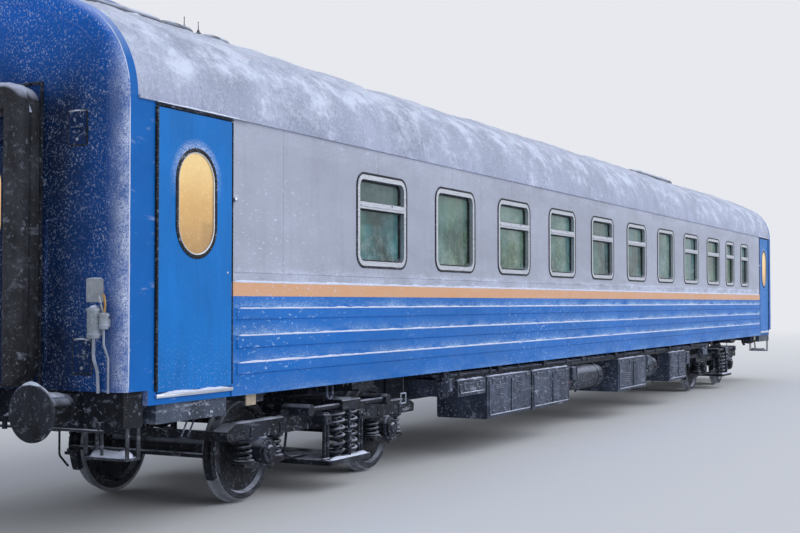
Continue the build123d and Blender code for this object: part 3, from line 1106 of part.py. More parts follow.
def end_fittings():
    """Hatches with handles, a bare plate, cable sockets, foot steps and the coupler's release rod at each end."""
    face = END_FACE
    headstock_face = -HALF_LENGTH
    wall = Plane.YZ.offset(face)
    pieces = []

    def both_sides(shape):
        pieces.append(shape.solid())
        pieces.append(mirror_y(shape).solid())

    for inset, height, width, tall in HATCHES:
        centre = HALF_WIDTH - inset
        cover = extrude(wall * (Pos(centre, up(height)) * RectangleRounded(width, tall, HATCH_ROUND)),
                        amount=-HATCH_PROUD)
        cover = chamfer(cover.faces().sort_by(Axis.X)[0].edges(), HATCH_PROUD / 3)
        grip_x = face - HATCH_PROUD - 3 * HATCH_HANDLE_RADIUS
        cover += rod_y(grip_x, (centre - width / 4, centre + width / 4), up(height), HATCH_HANDLE_RADIUS)
        for y in (centre - width / 4, centre + width / 4):
            cover += rod_x((grip_x, face - HATCH_PROUD + OVERLAP), y, up(height), HATCH_HANDLE_RADIUS)
        both_sides(cover)
    inset, height, width, tall = BARE_PLATE
    centre = HALF_WIDTH - inset
    both_sides(extrude(wall * (Pos(centre, up(height)) * RectangleRounded(width, tall, HATCH_ROUND / 2)),
                       amount=-BARE_PLATE_THICKNESS))
    for inset, low, high, radius in SOCKETS:
        centre = HALF_WIDTH - inset
        x = face - 1.5 * radius
        socket = rod_z(x, centre, (up(low), up(high)), radius)
        socket = fillet(socket.edges().filter_by(GeomType.CIRCLE).group_by(Axis.Z)[0], radius / 3)
        socket += rod_z(x, centre, (up(high) - OVERLAP, up(high) + SOCKET_LID_RISE), radius + SOCKET_LID_OVERHANG)
        socket += block((x, face), (centre - radius / 2, centre + radius / 2),
                        (up(low) + radius / 2, up(high) - radius / 2))
        if radius < SOCKETS[0][3]:
            lever = Cylinder(SOCKET_LEVER_RADIUS, SOCKET_LEVER_LENGTH, align=(Align.CENTER, Align.CENTER, Align.MIN))
            socket += Pos(x, centre, up(high)) * Rot(8, -12, 0) * lever
        both_sides(socket)
    headstock_low = up(HEADSTOCK_BOTTOM_HEIGHT)
    strap_x = (headstock_face + RELEASE_ROD_STANDOFF, headstock_face + RELEASE_ROD_STANDOFF + FOOT_STEP_DEPTH)
    tread = up(FOOT_STEP_HEIGHT)
    step_y = (HALF_WIDTH - FOOT_STEP_INSET - FOOT_STEP_WIDTH, HALF_WIDTH - FOOT_STEP_INSET)
    step = block((strap_x[0], strap_x[1]), step_y, (tread - FOOT_STEP_THICKNESS, tread))
    for y in (step_y[0], step_y[1] - FOOT_STEP_THICKNESS / 2):
        step += block((strap_x[0], strap_x[0] + FOOT_STEP_STRAP), (y, y + FOOT_STEP_THICKNESS / 2),
                      (tread - FOOT_STEP_THICKNESS, headstock_low))
        step += block((strap_x[1] - FOOT_STEP_STRAP, strap_x[1]), (y, y + FOOT_STEP_THICKNESS / 2),
                      (tread - FOOT_STEP_THICKNESS, headstock_low))
    both_sides(step)
    rod_place = headstock_face - RELEASE_ROD_STANDOFF
    rod_height = headstock_low - 2 * RELEASE_ROD_RADIUS
    rod = rod_y(rod_place, (SHANK_WIDTH, RELEASE_ROD_REACH), rod_height, RELEASE_ROD_RADIUS)
    arm = 0.75 * RELEASE_ROD_RADIUS
    for y in (SHANK_WIDTH + RELEASE_ROD_STANDOFF, RELEASE_ROD_REACH - RELEASE_ROD_STANDOFF):
        rod += block((rod_place - arm, rod_place + arm), (y - arm, y + arm),
                     (rod_height, headstock_low + RELEASE_ROD_STANDOFF))
        rod += block((rod_place, headstock_face), (y - arm, y + arm),
                     (headstock_low + arm, headstock_low + RELEASE_ROD_STANDOFF))
    rod += block((rod_place - arm, rod_place + arm), (RELEASE_ROD_REACH - 3 * arm, RELEASE_ROD_REACH - arm),
                 (rod_height - 4 * RELEASE_ROD_STANDOFF, rod_height))
    pieces.append(mirror_y(rod).solid())
    return group(pieces + [rear(piece).solid() for piece in pieces])


def brake_pipe():
    """Main air pipe under the bearers in three lengths between headstocks and body bolsters, with end cocks."""
    z = up(BODY_BOLSTER_TIP_HEIGHT) - BRAKE_PIPE_RADIUS
    reach = HALF_LENGTH - CORNER_NOTCH_LENGTH
    inner = BOGIE_X - BODY_BOLSTER_LENGTH / 2
    outer = BOGIE_X + BODY_BOLSTER_LENGTH / 2
    pieces = [rod_x((-inner, inner), -BRAKE_PIPE_LINE, z, BRAKE_PIPE_RADIUS).solid()]
    end_pipe = rod_x((-reach, -outer), -BRAKE_PIPE_LINE, z, BRAKE_PIPE_RADIUS)
    cock_x = -HALF_LENGTH - END_COCK_LENGTH
    cock = rod_x((cock_x, -HALF_LENGTH), -BRAKE_PIPE_LINE, z, BRAKE_PIPE_RADIUS)
    cock += Pos(-HALF_LENGTH - END_COCK_LENGTH / 2, -BRAKE_PIPE_LINE, z) * Sphere(END_COCK_RADIUS)
    cock += rod_z(cock_x + BRAKE_PIPE_RADIUS, -BRAKE_PIPE_LINE, (z - END_COCK_DROP, z), BRAKE_PIPE_RADIUS)
    cock += rod_z(-HALF_LENGTH - END_COCK_LENGTH / 2, -BRAKE_PIPE_LINE, (z, z + END_COCK_DROP), BRAKE_PIPE_RADIUS / 2)
    for piece in (end_pipe, cock):
        pieces.append(piece.solid())
        pieces.append(rear(piece).solid())
    return group(pieces)


def underfloor_gear():
    """Gear between the large cases: relay boxes, brake cylinder and stirrups below the sill."""
    pieces = [case(start, end, 1, side, RELAY_BOX_BOTTOM_HEIGHT).solid()
              for side in (-1, 1) for start, end in RELAY_BOXES[:1 if side < 0 else 2]]
    start, end = BRAKE_CYLINDER
    pieces.append(mirror_y(strapped_tank(start, end, BRAKE_CYLINDER_RADIUS, RAIL_LINES)).solid())
    sill = up(SILL_HEIGHT)
    for place in STIRRUPS:
        for side in (-1, 1):
            path = Plane.XZ.offset(-side * (HALF_WIDTH - WALL / 2)) * (
                Pos(along(place), sill - STIRRUP_DEPTH / 2)
                * (RectangleRounded(STIRRUP_WIDTH, STIRRUP_DEPTH * 2, STIRRUP_WIDTH * 0.45)
                   - RectangleRounded(STIRRUP_WIDTH - 2 * STIRRUP_WIRE, STIRRUP_DEPTH * 2 - 2 * STIRRUP_WIRE,
                                      STIRRUP_WIDTH * 0.45 - STIRRUP_WIRE)))
            loop = extrude(path, amount=STIRRUP_WIRE, both=True)
            loop -= block((along(place) - STIRRUP_WIDTH, along(place) + STIRRUP_WIDTH),
                          (-2 * HALF_WIDTH, 2 * HALF_WIDTH), (sill, sill + 3 * STIRRUP_DEPTH))
            pieces.append(loop.solid())
    return group(pieces)


def main():
    """Build every piece and write one file for each."""
    os.makedirs("parts", exist_ok=True)
    front_end = end_wall()
    side_leaf = door_leaf(DOOR_WIDTH, DOOR_BOTTOM, DOOR_TOP, DOOR_THICKNESS, SIDE_WINDOW)
    side_pane = door_pane(DOOR_WIDTH, DOOR_THICKNESS, SIDE_WINDOW)
    end_leaf = door_leaf(GANGWAY_DOOR_WIDTH, GANGWAY_DOOR_BOTTOM, GANGWAY_DOOR_TOP, GANGWAY_DOOR_THICKNESS,
                         GANGWAY_WINDOW)
    end_pane = door_pane(GANGWAY_DOOR_WIDTH, GANGWAY_DOOR_THICKNESS, GANGWAY_WINDOW)
    nodes = {
        "side_wall_compartment": side_wall(-1),
        "side_wall_corridor": side_wall(1),
        "roof_shell": roof_shell(),
        "end_wall_front": front_end,
        "end_wall_rear": rear(front_end),
        "floor_plate": floor_plate(),
        "underframe": underframe(),
        "cross_walls": cross_walls(),
        "vestibule_bulkheads": vestibule_bulkheads(),
        "corridor_wall": corridor_wall(),
        "berths": berths(),
        "window_frames": window_frames(),
        "window_panes": window_panes(),
        "gangway_front": gangway(),
        "gangway_rear": rear(gangway()),
        "coupler_front": coupler(),
        "coupler_rear": rear(coupler()),
        "buffers": buffers(),
        "battery_boxes": battery_boxes(),
        "equipment_cabinets": equipment_cabinets(),
        "air_tanks": air_tanks(),
        "entry_steps": entry_steps(),
        "roof_walkway": roof_walkway(),
        "roof_hoods": roof_hoods(),
        "end_fittings": end_fittings(),
        "brake_pipe": brake_pipe(),
        "underfloor_gear": underfloor_gear(),
        "gangway_door_front": at_gangway_door(end_leaf),
        "gangway_door_rear": rear(at_gangway_door(end_leaf)),
        "gangway_pane_front": at_gangway_door(end_pane),
        "gangway_pane_rear": rear(at_gangway_door(end_pane)),
    }
    for piece, own in (("door", side_leaf), ("door_pane", side_pane)):
        front_compartment = at_side_door(own)
        front_corridor = mirror_y(front_compartment)
        nodes[f"{piece}_front_compartment"] = front_compartment
        nodes[f"{piece}_front_corridor"] = front_corridor
        nodes[f"{piece}_rear_compartment"] = rear(front_corridor)
        nodes[f"{piece}_rear_corridor"] = rear(front_compartment)
    bogie_pieces = {"bogie_frame": bogie_frame(), "bogie_bolster": bogie_bolster(), "axle_boxes": axle_boxes(),
                    "springs": springs(), "brake_gear": brake_gear()}
    for end, name in ((-1, "front"), (1, "rear")):
        for piece, shape in bogie_pieces.items():
            nodes[f"{piece}_{name}"] = Pos(end * BOGIE_X, 0, 0) * shape
    wheel_pair, bare_axle = wheels(), axle()
    number = 0
    for end in (-1, 1):
        for turn in (-1, 1):
            number += 1
            spot = Pos(end * BOGIE_X + turn * WHEELBASE / 2, 0, AXLE_Z)
            nodes[f"wheels_{number}"] = spot * wheel_pair
            nodes[f"axle_{number}"] = spot * bare_axle
    for name, shape in nodes.items():
        export_step(shape, f"parts/{name}.step")
        print(name, len(shape.solids()))


if __name__ == "__main__":
    main()
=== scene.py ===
from math import cos, pi, radians, sin, sqrt

import bpy
from mathutils import Matrix, Vector, noise


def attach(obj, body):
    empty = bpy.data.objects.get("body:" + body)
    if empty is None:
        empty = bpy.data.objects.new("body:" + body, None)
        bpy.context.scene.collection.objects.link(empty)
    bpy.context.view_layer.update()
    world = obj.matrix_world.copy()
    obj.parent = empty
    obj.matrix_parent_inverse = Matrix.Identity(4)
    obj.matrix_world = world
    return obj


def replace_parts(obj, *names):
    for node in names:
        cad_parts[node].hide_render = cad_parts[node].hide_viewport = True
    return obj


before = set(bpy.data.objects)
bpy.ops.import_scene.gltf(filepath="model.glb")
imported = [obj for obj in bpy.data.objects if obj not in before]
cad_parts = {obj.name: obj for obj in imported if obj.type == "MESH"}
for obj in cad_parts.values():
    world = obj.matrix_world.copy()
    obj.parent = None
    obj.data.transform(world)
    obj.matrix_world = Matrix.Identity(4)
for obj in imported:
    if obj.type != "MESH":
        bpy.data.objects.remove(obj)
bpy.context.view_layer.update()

bl_info = {
    "name": "Snowy passenger coach",
    "version": (1, 0, 0),
    "blender": (4, 5, 0),
    "location": "View3D > Sidebar > Coach",
    "description": "Adds paint, snow, glass and fittings to a passenger coach, and a plain studio round it",
    "category": "Add Mesh",
}

# Sizes of the coach in metres, along X from the front end at -FRONT
FRONT = 12.3
END_FACE = 12.375
SIDE = 1.5525
PANEL = 1.5625
GUTTER = 3.493
SPRING = 3.498
HAUNCH_CENTRE = 0.7125
HAUNCH_RADIUS = 0.84
HAUNCH_REACH = 1.0807
CROWN_CENTRE = 2.0372
CROWN_RADIUS = 2.4653
ROOF_TOP = CROWN_CENTRE + CROWN_RADIUS
RIB_TOPS = (1.404, 1.638, 1.873)
STRIPE = (1.975, 2.096)
PITCH = 1.82
FIRST_WALL = -9.16
BERTH_ROW = (-1.4425, 0.4075)

# Windows: widths, places along the coach, and which of them have no glazing bar or no curtain
WIDE = 1.053
NARROW = 0.75
WIDE_PLACES = [-FRONT + 4.05 + PITCH * n for n in range(9)]
NARROW_PLACES = [-FRONT + 20.14, -FRONT + 21.60]
BARRED_PLACES = [place for n, place in enumerate(WIDE_PLACES) if n not in (1, 6)]
BARE_WINDOWS = {-1: (1, 5, 7), 1: (3, 6)}
WINDOW_LOW = 2.303
WINDOW_HIGH = 3.218
WINDOW_CORNER = 0.12
TRANSOM = (2.878, 2.948)
PANE_FACE = 1.4925
CURTAIN_DROP = 0.80

DOOR_X = (-11.971, -10.983)
DOOR_Z = (1.218, 3.458)
DOOR_FACE = 1.5625
DOOR_WINDOW = (-11.477, 2.728, 0.50, 0.85)

# Ends: hatches by distance from the middle and height, and the buffers
HATCHES = ((1.10, 3.268), (1.16, 1.508))
BUFFER_Y = 0.925
BUFFER_Z = 1.088

# Roof hoods: start and end from the front, middle, width and height
HOODS = ((0.55, 1.95, -0.16, 0.62, 0.080), (2.10, 2.70, 0.0, 0.46, 0.165), (2.702, 3.30, 0.0, 0.54, 0.145),
         (17.30, 20.30, 0.0, 0.60, 0.150))
WALKWAY = (-FRONT + 3.77, -FRONT + 17.13)

BOGIES = (("front", -8.5), ("rear", 8.5))
AXLE_Z = 0.5065
AXLE_REACH = 1.25
SPRING_LINE = 1.018

# Underfloor cases: first and last place along the coach, bottom, number of doors and kind
CASES = ((-5.34, -3.86, 0.458, 2, "battery"), (-3.80, -2.32, 0.458, 2, "battery"),
         (0.03, 1.61, 0.458, 2, "cabinet"), (3.10, 4.30, 0.458, 2, "cabinet"),
         (-6.22, -5.40, 0.788, 1, "relay"))
FAR_RELAY = (4.80, 5.40, 0.788, 1, "relay")
CASE_TOP = 0.988
CASE_DOOR_FACE = 1.4905
TANKS = ((-2.0, -0.2), (1.85, 2.95))
TANK_Y = -1.1405
TANK_Z = 0.748

ALONG, ACROSS, UP = (1, 0, 0), (0, 1, 0), (0, 0, 1)
ORIGIN = (0, 0, 0)
OTHER_SIDE = Matrix.Scale(-1, 4, ACROSS)
OTHER_END = Matrix.Rotation(pi, 4, "Z")
STAY = Matrix.Identity(4)
BOTH_SIDES = (STAY, OTHER_SIDE)
BOTH_ENDS = (STAY, OTHER_END)
ALL_CORNERS = (STAY, OTHER_SIDE, OTHER_END, OTHER_END @ OTHER_SIDE)
DOORS = (("front_compartment", STAY), ("front_corridor", OTHER_SIDE),
         ("rear_compartment", OTHER_END @ OTHER_SIDE), ("rear_corridor", OTHER_END))


class CoachPaint(bpy.types.PropertyGroup):
    """Colours of the coach."""

    lower: bpy.props.FloatVectorProperty(
        name="Lower panel", description="Blue of the ribbed lower panel", subtype="COLOR",
        size=3, min=0, max=1, default=(0.002, 0.128, 0.48))
    upper: bpy.props.FloatVectorProperty(
        name="Upper wall", description="Silver grey round the windows", subtype="COLOR",
        size=3, min=0, max=1, default=(0.365, 0.395, 0.50))
    stripe: bpy.props.FloatVectorProperty(
        name="Stripe", description="Peach stripe between grey and blue", subtype="COLOR",
        size=3, min=0, max=1, default=(0.66, 0.36, 0.20))
    end: bpy.props.FloatVectorProperty(
        name="End wall", description="Dark blue of the end walls", subtype="COLOR",
        size=3, min=0, max=1, default=(0.0040, 0.080, 0.350))
    door: bpy.props.FloatVectorProperty(
        name="Doors", description="Blue of the side doors", subtype="COLOR",
        size=3, min=0, max=1, default=(0.003, 0.162, 0.54))
    roof: bpy.props.FloatVectorProperty(
        name="Roof", description="Silver of the roof under the snow", subtype="COLOR",
        size=3, min=0, max=1, default=(0.38, 0.425, 0.58))
    glass: bpy.props.FloatVectorProperty(
        name="Windows", description="Green tint of the window glass", subtype="COLOR",
        size=3, min=0, max=1, default=(0.07, 0.175, 0.165))
    # Snow: its white is greyed and blued as painted dusk shade
    snow: bpy.props.FloatVectorProperty(
        name="Snow", description="Colour of the snow", subtype="COLOR",
        size=3, min=0, max=1, default=(0.66, 0.72, 0.90))
    frost: bpy.props.FloatVectorProperty(
        name="Frost", description="Colour of the thin frost on the blue panels", subtype="COLOR",
        size=3, min=0, max=1, default=(0.50, 0.68, 0.88))


class CoachSizes(bpy.types.PropertyGroup):
    """Sizes of the pieces that are added to the coach."""

    seal: bpy.props.FloatProperty(
        name="Window seal", description="Width of the rubber round a window", unit="LENGTH",
        min=0.01, max=0.04, default=0.024)
    ridge: bpy.props.FloatProperty(
        name="Snow ridge", description="Height of the snow on a ledge", unit="LENGTH",
        min=0.005, max=0.04, default=0.016)
    blanket: bpy.props.FloatProperty(
        name="Roof snow", description="Depth of the snow on the roof", unit="LENGTH",
        min=0.005, max=0.07, default=0.040)
    wire: bpy.props.FloatProperty(
        name="Spring wire", description="Thickness of the bolster springs' wire", unit="LENGTH",
        min=0.02, max=0.045, default=0.034)
    lens: bpy.props.FloatProperty(
        name="Lens", description="Focal length of the camera in millimetres", min=20, max=120,
        default=56.25)


def paint():
    """The colours set for the coach."""
    return bpy.context.scene.coach_paint


def measures():
    """The sizes set for the added pieces."""
    return bpy.context.scene.coach_sizes


def shade(tone, factor):
    """A darker or paler tone of a colour."""
    return [min(1.0, part * factor) for part in tone]


class Level:
    """A number that varies over a surface, with its sums done by nodes."""

    def __init__(self, recipe, socket):
        self.recipe = recipe
        self.socket = socket

    def maths(self, operation, other=0.5):
        """One step of arithmetic with another level or a number."""
        node = self.recipe.node("Math")
        node.operation = operation
        self.recipe.feed(node.inputs[0], self)
        self.recipe.feed(node.inputs[1], other)
        return Level(self.recipe, node.outputs[0])

    def __add__(self, other):
        return self.maths("ADD", other)

    def __sub__(self, other):
        return self.maths("SUBTRACT", other)

    def __mul__(self, other):
        return self.maths("MULTIPLY", other)

    def __pow__(self, other):
        return self.maths("POWER", other)

    def __abs__(self):
        return self.maths("ABSOLUTE")

    def most(self, other):
        """The greater of two levels."""
        return self.maths("MAXIMUM", other)

    def between(self, low, high, start=0.0, end=1.0):
        """Maps low to start and high to end, and stops there."""
        node = self.recipe.node("MapRange")
        for key, number in (("Value", self), ("From Min", low), ("From Max", high), ("To Min", start),
                            ("To Max", end)):
            self.recipe.feed(node.inputs[key], number)
        return Level(self.recipe, node.outputs[0])

    def above(self, edge):
        """A sharp step at an edge between two paints."""
        return self.between(edge - 0.001, edge + 0.001)


class Recipe:
    """One material, built node by node."""

    def __init__(self, name, metallic=0.0, gloss=0.14):
        self.material = bpy.data.materials.new(f"coach_{name}")
        self.material.use_nodes = True
        self.tree = self.material.node_tree
        self.shader = self.tree.nodes["Principled BSDF"]
        self.set("Metallic", metallic)
        self.set("Specular IOR Level", gloss)
        coordinates = self.node("TexCoord")
        self.place = coordinates.outputs["Object"]
        self.facing = coordinates.outputs["Normal"]

    def node(self, kind):
        """A new shader node."""
        return self.tree.nodes.new(f"ShaderNode{kind}")

    def set(self, name, value):
        """Sets a constant, or links a level, on the shader."""
        self.feed(self.shader.inputs[name], value)

    def feed(self, socket, value):
        """Links a socket, or sets its number or colour."""
        value = value.socket if isinstance(value, Level) else value
        if isinstance(value, bpy.types.NodeSocket):
            self.tree.links.new(value, socket)
        elif hasattr(value, "__len__") and len(socket.default_value) == 4:
            socket.default_value = (*value[:3], 1.0)
        else:
            socket.default_value = value

    def parts(self, vector):
        """The X, Y and Z of a vector."""
        node = self.node("SeparateXYZ")
        self.feed(node.inputs[0], vector)
        return [Level(self, part) for part in node.outputs]

    def grain(self, scale, detail=4.0, stretch=(1, 1, 1), turn=(0, 0, 0), rough=0.6):
        """Noise over the object's own coordinates."""
        mapping = self.node("Mapping")
        self.feed(mapping.inputs["Vector"], self.place)
        mapping.inputs["Scale"].default_value = stretch
        mapping.inputs["Rotation"].default_value = turn
        node = self.node("TexNoise")
        for key, value in (("Scale", scale), ("Detail", detail), ("Roughness", rough),
                           ("Vector", mapping.outputs[0])):
            self.feed(node.inputs[key], value)
        return Level(self, node.outputs["Fac"])

    def cloud(self, scale, stretch=(1, 1, 1)):
        """Soft cloudy noise between 0 and 1."""
        return self.grain(scale, 6, stretch).between(0.3, 0.7)

    def mix(self, factor, first, second):
        """One colour over another."""
        node = self.node("Mix")
        node.data_type = "RGBA"
        for number, value in ((0, factor), (6, first), (7, second)):
            self.feed(node.inputs[number], value)
        return node.outputs[2]

    def toned(self, factor, tone, dark, pale):
        """A colour that varies between a darker and a paler tone of it."""
        return self.mix(factor, shade(tone, dark), shade(tone, pale))

    def seams(self, x, start):
        """Distance from the nearest sheet seam, in pitches."""
        return abs(((x + start) * (1 / PITCH)).maths("FRACT") - 0.5)

    def profile(self, value, low, high, stops):
        """A value read off a row of stops between two heights."""
        node = self.node("ValToRGB")
        self.feed(node.inputs[0], value.between(low, high))
        ramp = node.color_ramp
        while len(ramp.elements) > 1:
            ramp.elements.remove(ramp.elements[-1])
        for number, (height, level) in enumerate(stops):
            spot = (height - low) / (high - low)
            element = ramp.elements[0] if number == 0 else ramp.elements.new(spot)
            element.position = spot
            element.color = (level, level, level, 1)
        return Level(self, node.outputs["Color"])

    def snow(self, on_top, on_side, scale=1.0):
        """Mask of snow: lying on what faces up, and blown in specks on the rest."""
        up = self.parts(self.facing)[2].between(0.35, 0.8)
        lying = up * self.grain(3.1 * scale, 5).between(0.34, 0.52) * on_top
        specks = self.grain(27 * scale, 5, rough=0.7).between(0.58, 0.64)
        streaks = self.grain(8 * scale, 5, (0.4, 1, 1.7), (0, 0.45, 0)).between(0.58, 0.68, 0, 0.7)
        patches = self.grain(1.7 * scale, 5).between(0.42, 0.66, 0.25, 1.0)
        return lying.most(specks.most(streaks) * patches * on_side)

    def finish(self, tone, roughness, height, strength=0.3, depth=0.01):
        """Joins colour, roughness and relief to the shader."""
        bump = self.node("Bump")
        self.feed(bump.inputs["Strength"], strength)
        self.feed(bump.inputs["Distance"], depth)
        self.feed(bump.inputs["Height"], height)
        for name, value in (("Base Color", tone), ("Roughness", roughness), ("Normal", bump.outputs[0])):
            self.set(name, value)
        return self.material

    def coated(self, tint, mask, relief, wear, roughs, strength, depth, white=None):
        """Paint with snow over it where the mask says so."""
        tone = self.mix(mask, tint, white or paint().snow)
        rough = (self.grain(wear, 4) + mask).between(0.3, 1.2, *roughs)
        return self.finish(tone, rough, relief, strength, depth)


# Frost on the side wall by height: it gathers in each hollow above a rib
SIDE_FROST = ((1.12, 0.30), (1.20, 0.12), (1.29, 0.05), (1.40, 0.07), (1.41, 0.75), (1.45, 0.26),
              (1.51, 0.04), (1.635, 0.06), (1.645, 0.75), (1.69, 0.24), (1.75, 0.04), (1.87, 0.08),
              (1.88, 0.8), (1.93, 0.28), (1.97, 0.10), (2.09, 0.12), (2.10, 0.95), (2.15, 0.55),
              (2.19, 0.85), (2.24, 0.25), (2.5, 0.10), (3.2, 0.08), (3.46, 0.35))


def side_paint():
    """Grey above, stripe, and blue below, with frost that gathers over each rib."""
    mat = Recipe("side_paint")
    x, _, z = mat.parts(mat.place)
    cloud = mat.cloud(0.9, (0.5, 1, 1.4))
    blue = mat.toned(cloud, paint().lower, 0.86, 1.16)
    grey = mat.toned(cloud, paint().upper, 0.84, 1.10)
    runs = mat.grain(7, 5, (1, 1, 0.12)).between(0.5, 0.75, 0, 0.35)
    grey = mat.mix(runs, grey, shade(paint().upper, 0.72))
    seam = mat.seams(x, FRONT - 3.05).between(0.0015, 0.004, 0.55, 0)
    grey = mat.mix(seam, grey, shade(paint().upper, 0.5))
    tint = mat.mix(z.above(STRIPE[1]), paint().stripe, grey)
    tint = mat.mix(z.above(STRIPE[0]), blue, tint)
    drift = mat.grain(3.4, 7, (0.55, 1, 1.9), rough=0.7).between(0.36, 0.66)
    powder = mat.grain(70, 4, (0.7, 1, 1), rough=0.75).between(0.42, 0.58)
    film = mat.profile(z, 1.1, 3.5, SIDE_FROST) * drift * x.between(-11, 6, 0.8, 1.7)
    film = film * powder.between(0, 1, 0.25, 1.3)
    specks = mat.grain(34, 4, (0.45, 1, 1), (0, 0.3, 0)).between(0.60, 0.67, 0, 0.6)
    mask = film.most(specks * mat.grain(1.1, 5, (0.4, 1, 1)).between(0.4, 0.65))
    white = mat.mix(z.between(STRIPE[0] - 0.02, STRIPE[0]), paint().frost, paint().snow)
    return mat.coated(tint, mask, mat.grain(90, 3) + mask * 2.0, 12, (0.34, 0.8), 0.25, 0.002, white)


def end_paint():
    """Blue end walls painted near-black in the middle as painted shade between the coaches, the shade
    clearing towards the corners and the collar, whose top is painted paler as painted light; speckled with
    blown snow.
    """
    mat = Recipe("end_paint")
    x, y, z = mat.parts(mat.place)
    across = abs(y)
    beside = abs(x).between(12.298, 12.302, 1, 0)
    flat = abs(mat.parts(mat.facing)[1]).between(0.55, 0.75) * beside
    cloud = mat.cloud(1.6)
    # Painted shade: the end face goes near-black in the middle and clears towards the corners and the collar
    outer = across.between(0.95, 1.52).most(z.between(3.4, 4.3))
    tint = mat.mix(outer, mat.toned(cloud, paint().end, 0.10, 0.27),
                   mat.toned(cloud, paint().end, 0.75, 1.25))
    # Painted light: the top of the collar is painted paler than the end blue
    tint = mat.mix(z.between(3.5, 4.2), tint, mat.toned(cloud, paint().end, 1.4, 2.1))
    tint = mat.mix(flat, tint, mat.toned(cloud, paint().lower, 0.80, 1.02))
    specks = mat.grain(68, 3, rough=0.65).between(0.555, 0.625)
    patches = mat.grain(3.2, 7, rough=0.75).between(0.38, 0.62, 0.10, 0.85)
    blown = specks * patches * outer.between(0, 1, 0.5, 1.0)
    frost = mat.grain(80, 5, rough=0.75).between(0.36, 0.56)
    thick = mat.grain(5.0, 6, rough=0.7).between(0.38, 0.6, 0.35, 1.0)
    edge = across.between(1.36, 1.535) ** 1.5 * frost * 0.85 * thick
    streaks = mat.grain(7, 5, (0.5, 1, 1.8), (0, 0.45, 0)).between(0.60, 0.72, 0, 0.30)
    mask = (blown.most(edge) * flat.between(0, 1, 1, 0)).most(streaks * flat).most(mat.snow(0.35, 0.0))
    return mat.coated(tint, mask, mat.grain(80, 3) + mask * 3.0, 9, (0.45, 0.85), 0.35, 0.003)


def door_paint():
    """Blue of the doors with faint runs, a little snow low down and frost round the glass."""
    mat = Recipe("door_paint")
    x, _, z = mat.parts(mat.place)
    tint = mat.toned(mat.cloud(1.8, (1, 1, 0.5)), paint().door, 0.8, 1.14)
    runs = mat.grain(16, 5, (1, 1, 0.08)).between(0.52, 0.75, 0, 0.4)
    tint = mat.mix(runs, tint, shade(paint().door, 0.62))
    low = mat.grain(64, 4, (0.8, 1, 1)).between(0.58, 0.68) * z.between(1.2, 1.7, 0.45, 0.06)
    middle_x, middle_z, width, height = DOOR_WINDOW
    beside = abs(x) - abs(middle_x)
    above = (abs(z - middle_z) - (height - width) / 2).most(0.0)
    away = (beside * beside + above * above) ** 0.5
    halo = away.between(0.285, 0.36, 0.8, 0) * z.between(2.75, 3.15)
    mask = low.most(halo * mat.grain(75, 4, rough=0.7).between(0.42, 0.6))
    return mat.coated(tint, mask, mat.grain(110, 3) + mask * 2.0, 8, (0.3, 0.75), 0.25, 0.002)


def roof_paint():
    """Silver roof with seams and grey runs, mottled by frost that thickens upwards."""
    mat = Recipe("roof_paint")
    tint = mat.toned(mat.cloud(1.2), paint().roof, 0.78, 1.12)
    runs = mat.grain(6, 5, (1, 0.15, 0.15)).between(0.5, 0.72, 0, 0.5)
    tint = mat.mix(runs, tint, shade(paint().roof, 0.72))
    seam = mat.seams(mat.parts(mat.place)[0], FRONT).between(0.0, 0.006, 1, 0)
    tint = mat.mix(seam * 0.5, tint, shade(paint().roof, 0.45))
    up = mat.parts(mat.facing)[2].between(0.0, 0.9, 0.10, -0.04)
    drift = mat.grain(2.9, 8, (0.8, 1, 1), rough=0.75) - up
    fine = mat.grain(34, 6, rough=0.75).between(0.44, 0.60, 0, 0.7)
    mask = drift.between(0.43, 0.57, 0, 0.9).most(fine * drift.between(0.30, 0.5, 0.25, 1.0))
    relief = mat.grain(60, 4) * 0.4 + mask * 3.0 - seam
    return mat.coated(tint, mask, relief, 9, (0.42, 0.9), 0.5, 0.006)


def roof_snow():
    """Wind-packed snow, thin enough in places for the grey of the roof to show."""
    mat = Recipe("roof_snow")
    mat.set("Subsurface Weight", 0.08)
    patch = mat.grain(2.1, 8, (0.7, 1, 1), rough=0.72).between(0.40, 0.62)
    fine = mat.grain(38, 6, rough=0.75).between(0.38, 0.62)
    thin = mat.mix(fine, shade(paint().roof, 0.95), shade(paint().snow, 0.80))
    tone = mat.mix(patch, thin, mat.toned(fine, paint().snow, 0.80, 1.04))
    relief = mat.grain(90, 6, rough=0.7) + patch * 1.5
    return mat.finish(tone, fine.between(0, 1, 0.75, 0.95), relief, 0.6, 0.004)


def end_fitting_paint():
    """Navy hatches, darkened as painted shade like the end wall round them, pale sockets, a bare silver
    plate and dark steps, told apart by their height.
    """
    mat = Recipe("end_fitting_paint")
    _, y, z = mat.parts(mat.place)
    cloud = mat.cloud(9)
    # Painted shade: the hatches take a darkened end blue to match the shaded end wall
    tint = mat.toned(cloud, paint().end, 0.12, 0.35)
    socket = z.between(1.644, 1.648) * z.between(1.905, 1.91, 1, 0) * abs(y).between(1.262, 1.266)
    plate = z.between(1.915, 1.92) * z.between(2.108, 2.112, 1, 0)
    for area, dark, pale in ((socket, (0.22, 0.25, 0.30), (0.40, 0.44, 0.50)),
                             (plate, (0.30, 0.33, 0.38), (0.42, 0.45, 0.50)),
                             (z.between(1.15, 1.20, 1, 0), (0.014, 0.016, 0.022), (0.05, 0.056, 0.075))):
        tint = mat.mix(area, tint, mat.mix(cloud, dark, pale))
    mask = mat.snow(0.95, 0.7, 1.3)
    return mat.coated(tint, mask, mat.grain(90, 4) + mask * 2.5, 12, (0.38, 0.85), 0.4, 0.003)


